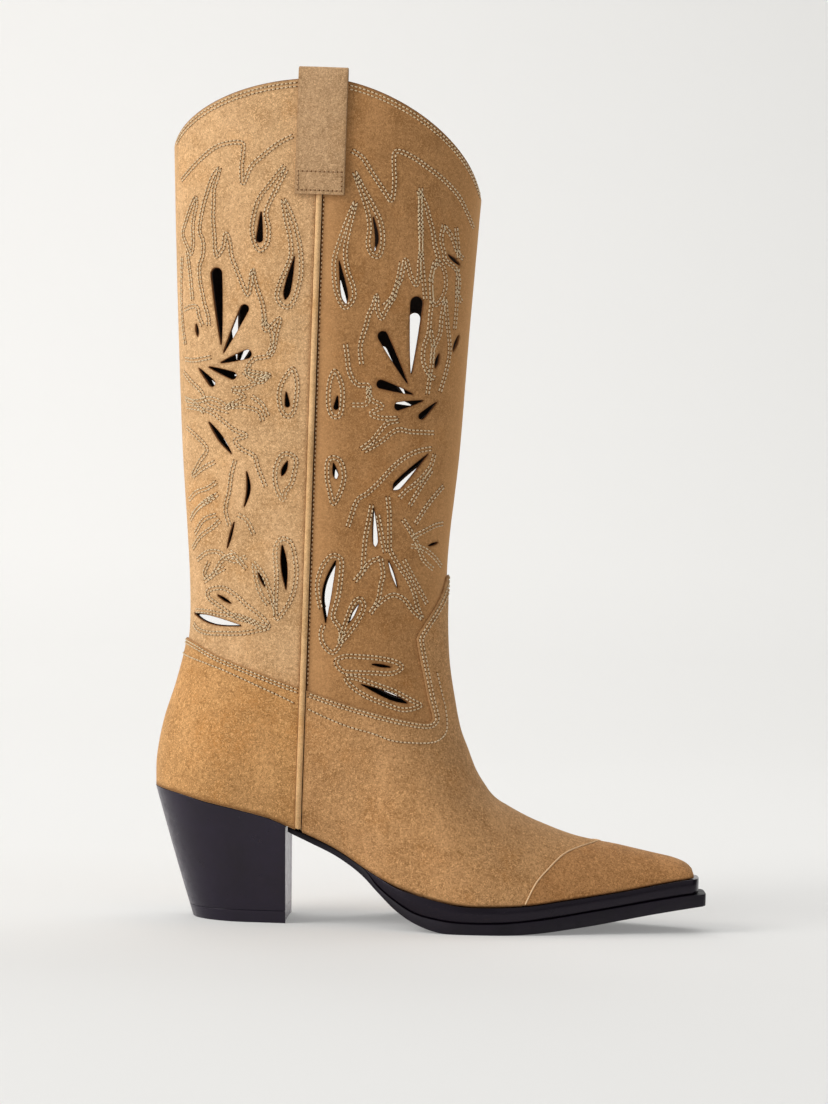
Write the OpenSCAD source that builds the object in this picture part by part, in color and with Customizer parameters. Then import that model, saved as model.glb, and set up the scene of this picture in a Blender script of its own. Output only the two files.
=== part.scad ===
// Pull-on cowboy boot, right foot: suede upper with cut-out shaft, leather
// lining, welted sole, and a lacquered block heel.  +X points to the toe,
// +Z up, the outer (lateral) side of the boot is -Y.  The ground is z = 0.

/* [Upper leather] */
// Thickness of the suede of vamp, counter and toe cap
suede_t = 1.2; // [0.9:0.05:1.25]
// Thickness of the suede of the two shaft panels
shaft_t = 1.3; // [1.0:0.05:1.35]
// Thickness of the lining leather
lining_t = 0.9; // [0.6:0.05:1.0]
// Diameter of the piping cord in the side seams
piping_d = 3.1; // [2.4:0.1:3.2]
// Diameter of the sewing thread
thread_d = 0.6; // [0.4:0.05:0.8]
// How far a shaft panel runs under the vamp and counter
underlap = 9; // [6:0.5:12]

/* [Shaft] */
// Height of the top edge at the side seams
top_side_z = 399; // [396:0.5:400]
// Height of the top edge at the back
top_back_z = 366; // [355:1:375]
// Height of the top edge at the front
top_front_z = 343; // [335:1:355]
// How much lower the openings sit on the inner side
inner_drop = 4.5; // [0:0.5:5]
// How far the middle line of the toe swings to the inner side
toe_swing = 6; // [0:1:10]

/* [Pull straps] */
// Width of a pull strap
strap_w = 23.4; // [18:0.2:28]
// Thickness of a pull strap
strap_t = 2.0; // [1.6:0.1:2.2]
// Height of the lower end of a pull strap
strap_low_z = 344.5; // [335:0.5:350]

/* [Sole and heel] */
// Thickness of the insole board
insole_t = 2.0; // [1.5:0.1:2.2]
// Thickness of the rubber top lift under the heel
lift_t = 5.8; // [4:0.1:7]
// Half width of the heel at the ground
heel_ground_hw = 24.5; // [20:0.5:28]
// Diameter of the heel screw shank
screw_d = 4; // [3:0.1:5]
// Diameter of a heel nail
nail_d = 2; // [1.6:0.1:2.4]

/* [Hidden] */
place = [1.705, -0.17, 0]; // puts the middle of the footprint on the origin
seam_x = -64;
seam_slot = piping_d/2 + 0.15; // from the side seam to the suede's edge
lining_gap = 0.4;              // from the side seam to the lining's edge
thread_rise = thread_d/2 + 0.05; // thread's middle above the leather

// Leather layers as [inside, outside], measured outwards from the form surface
shaft_out = -0.6;
lining_out = shaft_out - shaft_t - 0.1;
LINING = [lining_out - lining_t, lining_out];
SHAFT_SKIN = [shaft_out - shaft_t, shaft_out];
FOOT_SKIN = [-0.5, -0.5 + suede_t];

lining_color = [0.10,0.09,0.08];
shaft_lining_color = [0.06,0.05,0.05];
strap_color = [0.72,0.55,0.35];
thread_color = [0.80,0.74,0.62];
nail_color = [0.72,0.72,0.74];

// =================== Form surface ===================
// Section stations from the shaft's top to the toe's tip:
// [back or feather x, z, front or ridge x, z, front rounding depth]
SECTIONS = [
 [-137.6,402,16.5,402,76.5], [-134.8,345,13,345,73.4],
 [-131.3,285,9.7,285,70], [-127.2,225,6.9,225,66.5],
 [-123.2,182,3.2,180,62.7], [-121,152,3.2,148,61.6],
 [-121.2,132,4.6,126,62], [-125.3,112,7.8,108,61],
 [-130.5,94,11,94,58], [-133.3,76,15.2,83.6,56],
 [-133.2,62.6,18,76.8,54], [-129,61.8,20,72.8,53],
 [-121,60.3,22,69.6,52], [-109,57.3,24,66.8,51],
 [-94,54.2,26,64,50], [-78,50.3,28.5,61.4,48],
 [-62,43.8,31.5,59.2,47], [-46,36.5,34.8,57.4,45],
 [-31,27.5,38.5,55.4,43.5], [-17,20.5,43,53.1,42],
 [-2,16,48,50.8,40], [14,13.2,54,48.5,37.5],
 [30,13,61,45.9,34.5], [46,13.8,69,43.5,31],
 [62,16,78.5,41.6,27], [78,18.2,88.5,40,23],
 [92,20.3,98.5,38,18.5], [104,22.5,107.5,36.2,14.5],
 [114,24.3,115.5,34.6,10.8], [121,25.4,121.3,32.5,7.4],
 [124.6,26,124.5,30,4], [125.6,26.1,125.5,27.2,1.1]];
shaft_end = 8; // last station of the shaft
// Half width of the foot by x: [x, at the feather line, above it]
FOOT = [[-134,31,34],[-110,31,34.3],[-94,30.8,34.5],[-78,29.5,34.5],
 [-62,28,34.5],[-46,28,35.5],[-31,31,37],[-17,36,40],[-2,40.5,42.5],
 [14,42.8,43.3],[30,42,42],[46,38.8,38.6],[62,33.8,33.5],[78,28,27.6],
 [92,22.5,22],[104,18,17.6],[114,14.2,13.8],[121,11.6,11.2],
 [124.6,9.6,9.2],[125.6,8,7.6]];
// Half width of the shaft: [z, half width]
SHAFT = [[60,33],[95,32.6],[125,31.8],[150,32.2],[182,33.8],[225,36.2],
 [285,38.5],[345,40],[402,40.5]];
// Depth of the back rounding: [z, depth]
BACK_ROUND = [[55,33],[75,34],[100,43],[125,53],[150,61.6],[182,62.7],
 [225,66.5],[285,70],[345,73.4],[402,76.5]];
// Feather line: [x, z]
FEATHER = [[-134,62.6],[-121,60.3],[-109,57.3],[-94,54.2],[-78,50.3],
 [-62,43.8],[-46,36.5],[-31,27.5],[-17,20.5],[-2,16],[14,13.2],[30,13],
 [46,13.8],[62,16],[78,18.2],[92,20.3],[104,22.5],[114,24.3],[126,26.1]];
// Stations led by their number; back line [z, x]; front line [z, x, rounding]
NUMBERED = [for (k = [0:len(SECTIONS)-1]) concat([k], SECTIONS[k])];
BACK  = [for (k = [10:-1:0]) [SECTIONS[k][1], SECTIONS[k][0]]];
FRONT = [for (k = [shaft_end:-1:0]) [SECTIONS[k][3], SECTIONS[k][2], SECTIONS[k][4]]];

function clamp(t) = min(1, max(0, t));
function smooth(t) = let (c = clamp(t)) c*c*(3 - 2*c);
function mix(a, b, t) = a + (b - a)*t;
function unit(v) = v/max(1e-9, norm(v));
function flat(rows) = [for (r = rows) each r];
// Smooth curve through a table's column, by its first column
function segment(t, table) = max([0, for (k = [0:len(table)-2]) if (t >= table[k][0]) k]);
function slope(table, k, col) = let (before = max(0, k-1), after = min(len(table)-1, k+1))
  (table[after][col] - table[before][col])/(table[after][0] - table[before][0]);
function curve(t, table, col=1) = let (
  k = segment(t, table),
  span = table[k+1][0] - table[k][0],
  u = clamp((t - table[k][0])/span),
  from = table[k][col],
  to = table[k+1][col],
  rise_from = slope(table, k, col)*span,
  rise_to = slope(table, k+1, col)*span)
  (2*u*u*u - 3*u*u + 1)*from + (u*u*u - 2*u*u + u)*rise_from
  + (3*u*u - 2*u*u*u)*to + (u*u*u - u*u)*rise_to;
// Quarter ellipse: 0 at t = 0, rising to 1 at t = 1
function arc(t) = let (c = 1 - clamp(t)) sqrt(max(0, 1 - c*c));

function section(s, col) = curve(s, NUMBERED, col);
function feather(x) = curve(x, FEATHER);
function raised_feather(rise) = [for (p = FEATHER) [p[0], p[1] + rise]];
function back_x(z) = curve(z, BACK);
function swing(x) = toe_swing*smooth(x/120);
function full_width(x, z) = let (
  foot_hw = mix(curve(x, FOOT), curve(x, FOOT, 2), smooth((z - feather(x))/22)))
  mix(foot_hw, curve(z, SHAFT), smooth((z - 50)/70)*smooth((60 - x)/40));
function back_width(x, z) = full_width(x, z)*arc((x - back_x(z))/curve(z, BACK_ROUND));
// Half width above height 94, and everywhere behind the side seam
function half(x, z) = back_width(x, z)
  *(z > 93.9 ? arc((curve(z, FRONT) - x)/curve(z, FRONT, 2)) : 1);

// ---- Surface grids.  side -1 outer, +1 inner ----
// Front of the side seam: station s, t = 0 at the seam or feather, 1 at the ridge
function front_point(s, t, side, edge_x) = let (
  low_x = section(s,1), low_z = section(s,2),
  ridge_x = section(s,3), ridge_z = section(s,4),
  start = low_x < edge_x ? (edge_x - low_x)/(ridge_x - low_x) : 0,
  k = start + (1 - start)*sin(90*t),
  x = mix(low_x, ridge_x, k),
  z = mix(low_z, ridge_z, k),
  reach = norm([ridge_x - low_x, ridge_z - low_z]),
  hw = s <= shaft_end ? half(x, z) : back_width(x, z)*arc((1 - k)*reach/section(s,5)))
  [x, side*hw + swing(x), z];
// n steps on each side of the ridge
function front_grid(stations, n, edge_x) = [for (s = stations)
  [for (i = [-n:n]) front_point(s, 1 - abs(i)/n, i < 0 ? -1 : 1, edge_x)]];

// Behind the side seam: angle -90 (outer seam) over 0 (back) to 90
function back_point(z, angle, edge_x) = let (x = mix(back_x(z), edge_x, 1 - cos(angle)))
  [x, sign(angle)*half(x, z), z];
function back_grid(low_z, n, step, edge_x) = [for (i = [0:n])
  [for (a = [-90:step:90]) back_point(mix(402, low_z, i/n), a, edge_x)]];
// Band between a low and a high line, in n steps from the high line down
function band_z(angle, low, high, t, edge_x) = let (x = mix(-131, edge_x, 1 - cos(angle)))
  mix(curve(x, low), curve(x, high), t);
function band_grid(low, high, n, reach, step, edge_x) = [for (i = [0:n])
  [for (a = [-reach:step:reach])
    back_point(band_z(a, low, high, 1 - i/n, edge_x), a, edge_x)]];

// =================== Solid builders ===================
function grid_at(G, i, j) = G[min(len(G)-1, max(0, i))][min(len(G[0])-1, max(0, j))];
function offset_grid(G, d) = [for (i = [0:len(G)-1]) [for (j = [0:len(G[0])-1])
  grid_at(G,i,j) + d*unit(cross(grid_at(G,i+1,j) - grid_at(G,i-1,j),
  grid_at(G,i,j+1) - grid_at(G,i,j-1)))]];
function quad(a, b, c, d) = [[a,b,c],[a,c,d]];
function reversed(faces) = [for (f = faces) [f[2],f[1],f[0]]];

// Closed sheet between the two offsets of a skin.  flip -1 turns the outside round.
module sheet(grid, skin, flip=1) {
  m = len(grid);
  n = len(grid[0]);
  N = m*n;
  outside = [for (i=[0:m-2], j=[0:n-2])
    each quad(i*n+j, (i+1)*n+j, (i+1)*n+j+1, i*n+j+1)];
  inside = [for (i=[0:m-2], j=[0:n-2])
    each quad(N+i*n+j, N+i*n+j+1, N+(i+1)*n+j+1, N+(i+1)*n+j)];
  first_row = [for (j=[0:n-2]) each quad(j, j+1, N+j+1, N+j)];
  last_row = [for (j=[0:n-2])
    each quad((m-1)*n+j, N+(m-1)*n+j, N+(m-1)*n+j+1, (m-1)*n+j+1)];
  first_col = [for (i=[0:m-2]) each quad(i*n, N+i*n, N+(i+1)*n, (i+1)*n)];
  last_col = [for (i=[0:m-2])
    each quad(i*n+n-1, (i+1)*n+n-1, N+(i+1)*n+n-1, N+i*n+n-1)];
  faces = concat(outside, inside, first_row, last_row, first_col, last_col);
  polyhedron(
    concat(flat(offset_grid(grid, skin[1]*flip)), flat(offset_grid(grid, skin[0]*flip))),
    flip > 0 ? reversed(faces) : faces);
}
// Solid through a list of equal, convex section loops
module loft(loops, flip=false) {
  m = len(loops);
  n = len(loops[0]);
  walls = [for (i=[0:m-2], j=[0:n-1]) each [
    [i*n+j, i*n+(j+1)%n, (i+1)*n+(j+1)%n],
    [i*n+j, (i+1)*n+(j+1)%n, (i+1)*n+j]]];
  first_end = [for (j=[1:n-2]) [0, j+1, j]];
  last_end = [for (j=[1:n-2]) [(m-1)*n, (m-1)*n+j, (m-1)*n+j+1]];
  faces = concat(walls, first_end, last_end);
  polyhedron(flat(loops), flip ? reversed(faces) : faces);
}
// Round cord of radius r along points, with n sides
function ring_loops(P, r, n) = [for (i = [0:len(P)-1]) let (
  along = unit(P[min(len(P)-1,i+1)] - P[max(0,i-1)]),
  u = unit(cross(along, abs(along[0]) > 0.8 ? [0,0,1] : [1,0,0])),
  v = cross(along, u))
  [for (k = [0:n-1]) P[i] + r*(cos(360*k/n)*u + sin(360*k/n)*v)]];
module cord(points, r, n) loft(ring_loops(points, r, n));
// Plate through stations [x, low z, high z, half width]
module plate(stations) loft([for (p = stations) let (mid = swing(p[0])) [
  [p[0], mid-p[3], p[1]], [p[0], mid+p[3], p[1]],
  [p[0], mid+p[3], p[2]], [p[0], mid-p[3], p[2]]]]);

// Side view drawing [x, z], run through the whole width of the boot
cut_depth = 140;
module through() rotate([90,0,0]) linear_extrude(cut_depth, center=true) children();
// Area between a line of points and height z, where the line runs forwards
module area_to(line, z) for (i = [0:len(line)-2]) if (line[i+1][0] > line[i][0])
  hull() polygon([line[i], line[i+1], [line[i+1][0], z], [line[i][0], z]]);

// =================== Lines on the upper, side view [x, z] ===================
// Top edge of the counter
COUNTER_TOP = [[-135,134.5],[-121,133],[-106,126.2],[-92.5,121.4],
 [-76,115.7],[-64,111.8],[-50,107.2]];
// Edge of the vamp against the front panel, from the seam to the tongue's top
VAMP_TOP = [[-66,112.4],[-48.5,107],[-32,102.4],[-18,99.2],[-1.2,96.7],
 [-4.9,109],[-8.8,125.5],[-11.1,137.6],[-7.5,144.2],[-2.1,153.4],[1,161.5],
 [2.2,167.5]];
// Slices of the tongue: [point of VAMP_TOP, height at the slice's front end]
TONGUE = [[4,96],[6,125],[7,137.5],[8,144],[9,153.4],[10,161],[11,167.5]];
tongue_front_x = 30;
// Lower edge of the front panel before the underlap
FRONT_LOW = [[-68,112],[-50,107],[-32,104.5],[40,104.5]];
// Edge of the toe cap, feather to ridge
CAP = [[41,5],[43.7,13.8],[48.7,24.1],[55.2,31.2],[62,36.8],[70,39.7],
 [78.5,41.4],[84,44.8]];

// Height of the top edge by x: an arch on each side of its highest place
top_mid_x = -61.5;
function top_z(x) = let (
  back_t = clamp(abs(x - top_mid_x)/74.5),
  front_t = clamp((x - top_mid_x)/75))
  x < top_mid_x
    ? mix(top_back_z, top_side_z, pow(sqrt(1 - back_t*back_t), 1.15))
    : mix(top_front_z, top_side_z, pow(1 - pow(front_t, 1.60), 0.55));
TOP_FRONT = concat(
  [for (x = [-68,-61,-54,-47,-40,-33,-26,-19,-12,-6,0,4,7,9.5,11.6,13.2]) [x, top_z(x)]],
  [[13.8,top_front_z],[40,top_front_z]]);
TOP_BACK = concat([[-150,top_back_z]],
  [for (x = [-136.2,-135.4,-134,-132,-129,-125,-120,-113,-106,-98,-90,-82,-74,-66,-58])
    [x, top_z(x)]]);

// Openings of the outer side in the back panel and the front panel:
// [one end, other end, half width, place of the widest part from 0 to 1, bow]
BACK_CUTS = [
 [[-91.8,322.9],[-91.4,335.8],1.6,0,0], [[-78.6,294.8],[-74.8,315.3],1.6,0.2,0],
 [[-112.1,306.4],[-108.6,272.9],2.8,0,0], [[-97.9,290.0],[-107.4,269.2],2.1,0,0],
 [[-95.9,268.8],[-108.7,264.4],2.1,0,0], [[-102.6,258.5],[-114.5,262.4],1.8,0,0],
 [[-112.6,254.7],[-119.4,261.7],1.6,0,0], [[-121.4,282.8],[-120.4,276.6],0.8,0.5,0],
 [[-75.9,245.5],[-76.7,251.6],1.2,0,0], [[-77.5,212.0],[-74.9,219.2],1.2,0.4,0],
 [[-113.6,236.4],[-101.9,221.6],1.3,0.5,0], [[-94.4,213.6],[-95.0,196.8],0.9,0.5,1.5],
 [[-99.6,189.5],[-102.6,176.9],0.6,0.5,0], [[-76.2,179.5],[-73.7,158.4],1.5,0.45,0],
 [[-87.3,165.9],[-83.7,159.3],0.6,0.5,0], [[-106.8,154.5],[-99.9,150.8],0.7,0.5,0],
 [[-118.4,145.2],[-94.6,140.5],1.8,0.4,-0.9]];
FRONT_CUTS = [
 [[-38.2,335.0],[-37.1,319.0],0.9,0.6,1.3], [[-49.7,293.9],[-53.7,313.9],1.6,0.2,0],
 [[-16.3,295.7],[-17.8,262.3],3.1,0,0], [[-31.8,279.3],[-19.3,257.5],2.5,0,0],
 [[-32.0,256.8],[-16.5,252.7],2.1,0,0], [[-23.4,246.7],[-11.7,249.9],1.9,0,0],
 [[-12.1,242.5],[-5.2,249.5],1.6,0,0], [[-6.5,265.5],[-4.9,272.5],0.9,0.5,0],
 [[-2.2,319.5],[3.7,314.9],0.8,0.5,0], [[4.4,281.9],[1.8,273.9],0.8,0.5,0],
 [[-52.8,245.1],[-52.3,250.5],1.2,0,0], [[-51.5,211.5],[-53.2,219.0],1.3,0.3,0],
 [[-24.4,207.3],[-8.4,224.9],2.1,0.12,0], [[-31.8,180.1],[-33.4,198.7],1.3,0.15,0],
 [[-25.5,173.8],[-20.7,160.9],0.7,0.5,0], [[-6.8,181.3],[-2.1,183.0],0.6,0.5,0],
 [[-50.6,173.0],[-54.3,143.4],2.2,0.5,-1.7], [[-43.7,143.7],[-38.9,152.9],0.8,0.4,0],
 [[-31.8,124.6],[-22.6,123.4],0.7,0.5,0], [[-14.0,106.7],[-36.6,115.1],1.6,0.35,0]];
back_shift = 4.5;   // how far the inner side's openings move in x, per 160 of height
front_shift = -0.8;
lining_grow = 0.35; // how much wider the lining's openings are, all round
tip_r = 0.35;

// One opening: a drop or a slim leaf
module opening(cut, grow) let (
  a = cut[0], b = cut[1], r = cut[2], wide_at = cut[3],
  along = unit(b - a)) hull() {
  if (wide_at > 0) translate(a) circle(tip_r + grow, $fn=4);
  translate(mix(a, b, wide_at) + cut[4]*[-along[1], along[0]])
    circle(r + grow, $fn = r > 1 ? 8 : 6);
  translate(b) circle(tip_r + grow, $fn=4);
}
// The openings of a panel, on the outer side and then on the inner side, where
// they sit lower and, towards the top of the back panel, nearer the seam
module openings(cuts, shift, grow=0) {
  translate([0,-cut_depth/2,0]) through() for (c = cuts) opening(c, grow);
  translate([0,cut_depth/2,0]) through() for (c = cuts) let (u = (c[0][1] - 140)/160)
    translate([shift*u, -inner_drop*(0.25 + 0.9*u)]) opening(c, grow);
}

// =================== Upper ===================
module cap_area() through() translate([0.15,-0.15]) {
  area_to(CAP, -20);
  hull() polygon([[84,46],[140,46],[140,-20],[84,-20]]);
}
module vamp_area() through() {
  area_to(VAMP_TOP, 0);
  hull() polygon([[-1.3,0],[140,0],[140,96],[-1.3,96.7]]);
  for (i = [0:len(TONGUE)-2]) let (low = TONGUE[i], high = TONGUE[i+1])
    hull() polygon([VAMP_TOP[low[0]], [tongue_front_x,low[1]],
      [tongue_front_x,high[1]], VAMP_TOP[high[0]]]);
}
module vamp() color([0.70,0.53,0.33]) intersection() {
  sheet(front_grid([4.4,5,5.5,6,6.5,7,7.5,8,8.5,9,9.5,10.2,11,12,13.2,14.6,
    16,17.2,18.4,19.5,20.6,21.7,22.8,23.9,24.8], 10, seam_x + seam_slot), FOOT_SKIN);
  difference() {
    vamp_area();
    cap_area();
  }
}
module toe_cap() color([0.72,0.55,0.35]) intersection() {
  sheet(front_grid([22.4,23,23.6,24.2,24.8,25.4,26,26.7,27.4,28,28.6,29.2,29.8,30.4,31],
    8, seam_x), FOOT_SKIN);
  cap_area();
}
module counter() color([0.69,0.52,0.32])
  sheet(band_grid(FEATHER, COUNTER_TOP, 9, 90, 9, seam_x - seam_slot), FOOT_SKIN, -1);
module front_shaft_panel() color([0.73,0.56,0.36]) difference() {
  sheet(front_grid([0,0.5,1,1.5,2,2.5,3,3.5,4,4.5,5,5.5,6,6.5,7,7.45,7.9],
    11, seam_x + seam_slot), SHAFT_SKIN);
  through() {
    area_to(TOP_FRONT, 420);
    area_to([for (p = FRONT_LOW) [p[0], p[1]-underlap]], 0);
  }
  openings(FRONT_CUTS, front_shift);
}
module back_shaft_panel() color([0.72,0.55,0.35]) difference() {
  sheet(back_grid(104, 10, 9, seam_x - seam_slot), SHAFT_SKIN, -1);
  through() {
    area_to(TOP_BACK, 420);
    // The first point moves back, clear of the panel
    area_to([for (p = COUNTER_TOP) [p[0]-(p[0] < -130 ? 8 : 0), p[1]-underlap]], 60);
  }
  openings(BACK_CUTS, back_shift);
}
// The linings end a little lower and carry the same openings, a little wider
module lining_trim(line) through() translate([0,-0.4]) area_to(line, 420);
module front_shaft_lining() color(shaft_lining_color) difference() {
  sheet(front_grid([0,1,2,3,4,5,6,7,7.9], 6, seam_x + lining_gap), LINING);
  lining_trim(TOP_FRONT);
  openings(FRONT_CUTS, front_shift, lining_grow);
}
module back_shaft_lining() color(shaft_lining_color) difference() {
  sheet(back_grid(97, 7, 15, seam_x - lining_gap), LINING, -1);
  lining_trim(TOP_BACK);
  openings(BACK_CUTS, back_shift, lining_grow);
}
module vamp_lining() color(lining_color)
  sheet(front_grid([8.1,9,10,11,12.5,14,15.5,17,18.5,20,21.5,23,24.5,26,27.4,28.8],
    6, seam_x + lining_gap), LINING);
module heel_lining() color(lining_color)
  sheet(band_grid(raised_feather(0.6), [[-150,96.4],[-50,96.4]], 5, 90, 11.25,
    seam_x - lining_gap), LINING, -1);
module counter_stiffener() color([0.75,0.68,0.52])
  sheet(band_grid(raised_feather(1), [[-150,94],[-50,76]], 5, 70, 10, seam_x - 6),
    SHAFT_SKIN, -1);
module toe_puff() color([0.80,0.76,0.62])
  sheet(front_grid([25,25.8,26.6,27.4,28.2,29], 8, seam_x), SHAFT_SKIN);

// Point on the upper at side view place p, raised by d
function on_upper(p, side, d) = let (
  e = 0.4,
  slope_x = (half(p[0]+e, p[1]) - half(p[0]-e, p[1]))/(2*e),
  slope_z = (half(p[0], p[1]+e) - half(p[0], p[1]-e))/(2*e))
  [p[0], side*half(p[0], p[1]) + swing(p[0]), p[1]] + d*unit([-slope_x, side, -slope_z]);
// The cord lies deeper on the shaft's side of height 122 downwards
module piping(side) color([0.66,0.49,0.30]) cord(
  [for (z = concat([feather(seam_x)+1.4], [for (h = [56:16:330]) h], [342.5]))
    on_upper([seam_x, z], side, -0.35 + 0.5*smooth((122 - z)/12))],
  piping_d/2 - 0.05, 6);
module outer_side_piping() piping(-1);
module inner_side_piping() piping(1);

// Pull strap: up the outside, over the top edge, down the inside
strap_gap = 0.15; // from the form surface to the strap's outer leg
module strap(side) {
  leg_in = LINING[0] - strap_t - 0.3;
  mid = (strap_gap + strap_t + leg_in)/2;
  bend_r = (strap_gap + strap_t - leg_in)/2;
  bend_z = top_side_z + 1.2;
  // [height, outward place] of the outer skin, then of the inner skin
  path = concat(
    [for (z = [strap_low_z, 360, 380, top_side_z]) [z, strap_gap + strap_t, z, strap_gap]],
    [for (k = [30:30:150]) [
      bend_z + bend_r*sin(k)*1.1, mid + bend_r*cos(k),
      bend_z + (bend_r-strap_t)*sin(k)*1.1, mid + (bend_r-strap_t)*cos(k)]],
    [for (z = [top_side_z, 380, 360, strap_low_z + 3]) [z, leg_in, z, leg_in + strap_t]]);
  function skin_point(x, z, out) =
    [seam_x + x, side*(half(seam_x + x, min(z, 400)) + out), z];
  loops = [for (q = path) concat(
    [for (k = [-2:2]) skin_point(k*strap_w/4, q[0], q[1])],
    [for (k = [1:-1:-1]) skin_point(k*strap_w/2, q[2], q[3])])];
  color(strap_color) loft(loops, side > 0);
}
module outer_pull_strap() strap(-1);
module inner_pull_strap() strap(1);

// =================== Stitching ===================
module thread(line, side, d) cord([for (p = line) on_upper(p, side, d)], thread_d/2, 4);
module thread_both(line) for (side = [-1,1]) thread(line, side, FOOT_SKIN[1] + thread_rise);
// The vamp's edge up to the tongue, run on to the front
VAMP_SEAM = concat([for (i = [0:4]) VAMP_TOP[i]], [[6,95.8]]);
module top_edge_stitching() color(thread_color) for (drop = [2.0, 3.7], side = [-1,1]) {
  thread([for (x = [-132:5:-68]) [x, top_z(x) - drop]], side, shaft_out + thread_rise);
  thread([for (x = [-48:4.8:9.6]) [x, top_z(x) - drop]], side, shaft_out + thread_rise);
}
module vamp_stitching() color(thread_color) for (drop = [1.6, 3.2, 8.5])
  thread_both([for (x = [-60:6:2]) [x, curve(x, VAMP_SEAM) - drop]]);
module counter_stitching() color(thread_color) for (drop = [1.8, 3.5, 7.6])
  thread_both([for (x = [-116:6:-68]) [x, curve(x, COUNTER_TOP) - drop]]);
module pull_strap_stitching() color(thread_color)
  for (side = [-1,1], z = [strap_low_z + 1.5, strap_low_z + 10.5])
    cord([for (x = [-10.4:5.2:10.4])
      [seam_x + x, side*(half(seam_x + x, z) + strap_gap + strap_t + thread_rise), z]],
      thread_d/2, 4);

// =================== Bottom ===================
insole_rise = 0.4; // insole board above the feather line
function inner_hw(x, back, r) = (curve(x, FOOT) - 3.4)*arc((x - back)/r);
module insole_board() color([0.70,0.55,0.38]) difference() {
  plate([for (x = concat([-129.5,-128,-124,-116], [for (h = [-106:9:110]) h], [117,120.5]))
    let (z = feather(x) + insole_rise) [x, z, z + insole_t, inner_hw(x, -130, 30)]]);
  fixing_holes();
}
module heel_pad() color([0.85,0.80,0.55])
  plate([for (x = [-126,-124,-119,-112,-104,-96,-88,-82]) let (z = feather(x) + 3.7)
    [x, z, z + 2.6*clamp((-80-x)/14), inner_hw(x, -127, 27)-1]]);
// The sock liner climbs over the heel pad
module sock_liner() color([0.62,0.48,0.34])
  plate([for (x = concat([-128,-125,-119,-111], [for (h = [-102:9:110]) h], [116]))
    let (z = feather(x) + insole_t + 0.7 + 3.8*smooth((-70-x)/16))
    [x, z, z+1.1, inner_hw(x, -129, 29)-0.8]]);

SHANK_X = [-108,-98,-86,-74,-62,-50,-40,-30,-22];
shank_w = 14;
// Bar along the feather line through the shank's steps first to last
module shank_run(first, last, size, rise) for (i = [first:last])
  hull() for (x = [SHANK_X[i], SHANK_X[i+1]])
    translate([x, 0, feather(x) + rise]) cube(size, center=true);
module shank_slot(first, last) shank_run(first, last, [0.3, shank_w + 0.3, 4], 0.15);
module steel_shank() color([0.45,0.46,0.48]) difference() {
  shank_run(0, 7, [0.1, shank_w, 1.4], -1);
  fixing_holes();
}

// Rand stations: [x, low z, high z, outer half width]
RAND = [[-33,27.6,28.3,29.4],[-26,20.5,24.6,33.2],[-17,13.8,20.1,38],[-8,8.9,17.5,41.4],
 [3,6.4,14.9,43.9],[14,5.3,12.9,44.9],[30,5.3,12.7,43.9],[46,6.4,13.5,40.4],
 [62,8.6,15.7,35.4],[78,11.1,17.9,29.7],[92,13.3,20.0,24.6],[104,15.3,22.2,20.2],
 [114,16.9,24.0,16.6],[121,18.0,25.2,14.2]];
// Round the toe: [edge x, y, low z, high z, inside x, y], y from the middle line
RAND_TIP = [[126.6,-12.4,18.6,25.8,120,-6],[128.2,-9,18.9,26,119.6,-3],
 [128.6,0,18.9,26,119.4,0],[128.2,9,18.9,26,119.6,3],[126.6,12.4,18.6,25.8,120,6]];
function rand_inner_hw(hw) = hw - min(9, hw*0.5);
function rand_loop(p, side) = let (
  x = p[0], y_out = swing(x) + side*p[3], y_in = swing(x) + side*rand_inner_hw(p[3]))
  [[x,y_out,p[1]], [x,y_in,p[1]], [x,y_in,p[2]], [x,y_out,p[2]]];
function tip_loop(p) = let (y_out = toe_swing + p[1], y_in = toe_swing + p[5])
  [[p[0],y_out,p[2]], [p[4],y_in,18.6], [p[4],y_in,25.8], [p[0],y_out,p[3]]];
module rand() color([0.03,0.025,0.03]) loft(concat(
  [for (p = RAND) rand_loop(p, -1)],
  [for (p = RAND_TIP) tip_loop(p)],
  [for (i = [len(RAND)-1:-1:0]) rand_loop(RAND[i], 1)]));
module bottom_filler() color([0.62,0.45,0.28]) plate([for (i = [1:11]) let (p = RAND[i])
  [p[0], p[1]+0.1, p[2]-0.2, rand_inner_hw(p[3])-0.6]]);

// Outsole stations: [x, low z, high z, half width]
SOLE = [[-69.2,43.4,45.9,24],[-58,38.4,41.4,23.8],[-47,33.4,36.5,25],[-38,28.0,31.4,27.6],
 [-32,23.4,27.4,30.4],[-26,17.6,20.3,34],[-17,9.6,13.6,39],[-8,4.2,8.7,42.8],
 [3,0.6,6.2,45.6],[12,0,5.2,46.8],[30,0,5.1,46],[42,0.2,5.9,43.2],[54,1.2,7.2,40.2],
 [66,2.7,9.0,35.9],[78,4.4,10.9,31.6],[92,6.8,13.1,26.6],[104,8.9,15.1,22.4],
 [114,10.5,16.7,18.8],[121,11.6,17.8,16.4],[127,12.5,18.5,14.4],[130.6,13.0,18.8,12.8],
 [132,13.2,18.9,11]];
module outsole() color([0.04,0.035,0.04]) difference() {
  plate(SOLE);
  shank_slot(3, 7);
}

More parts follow.
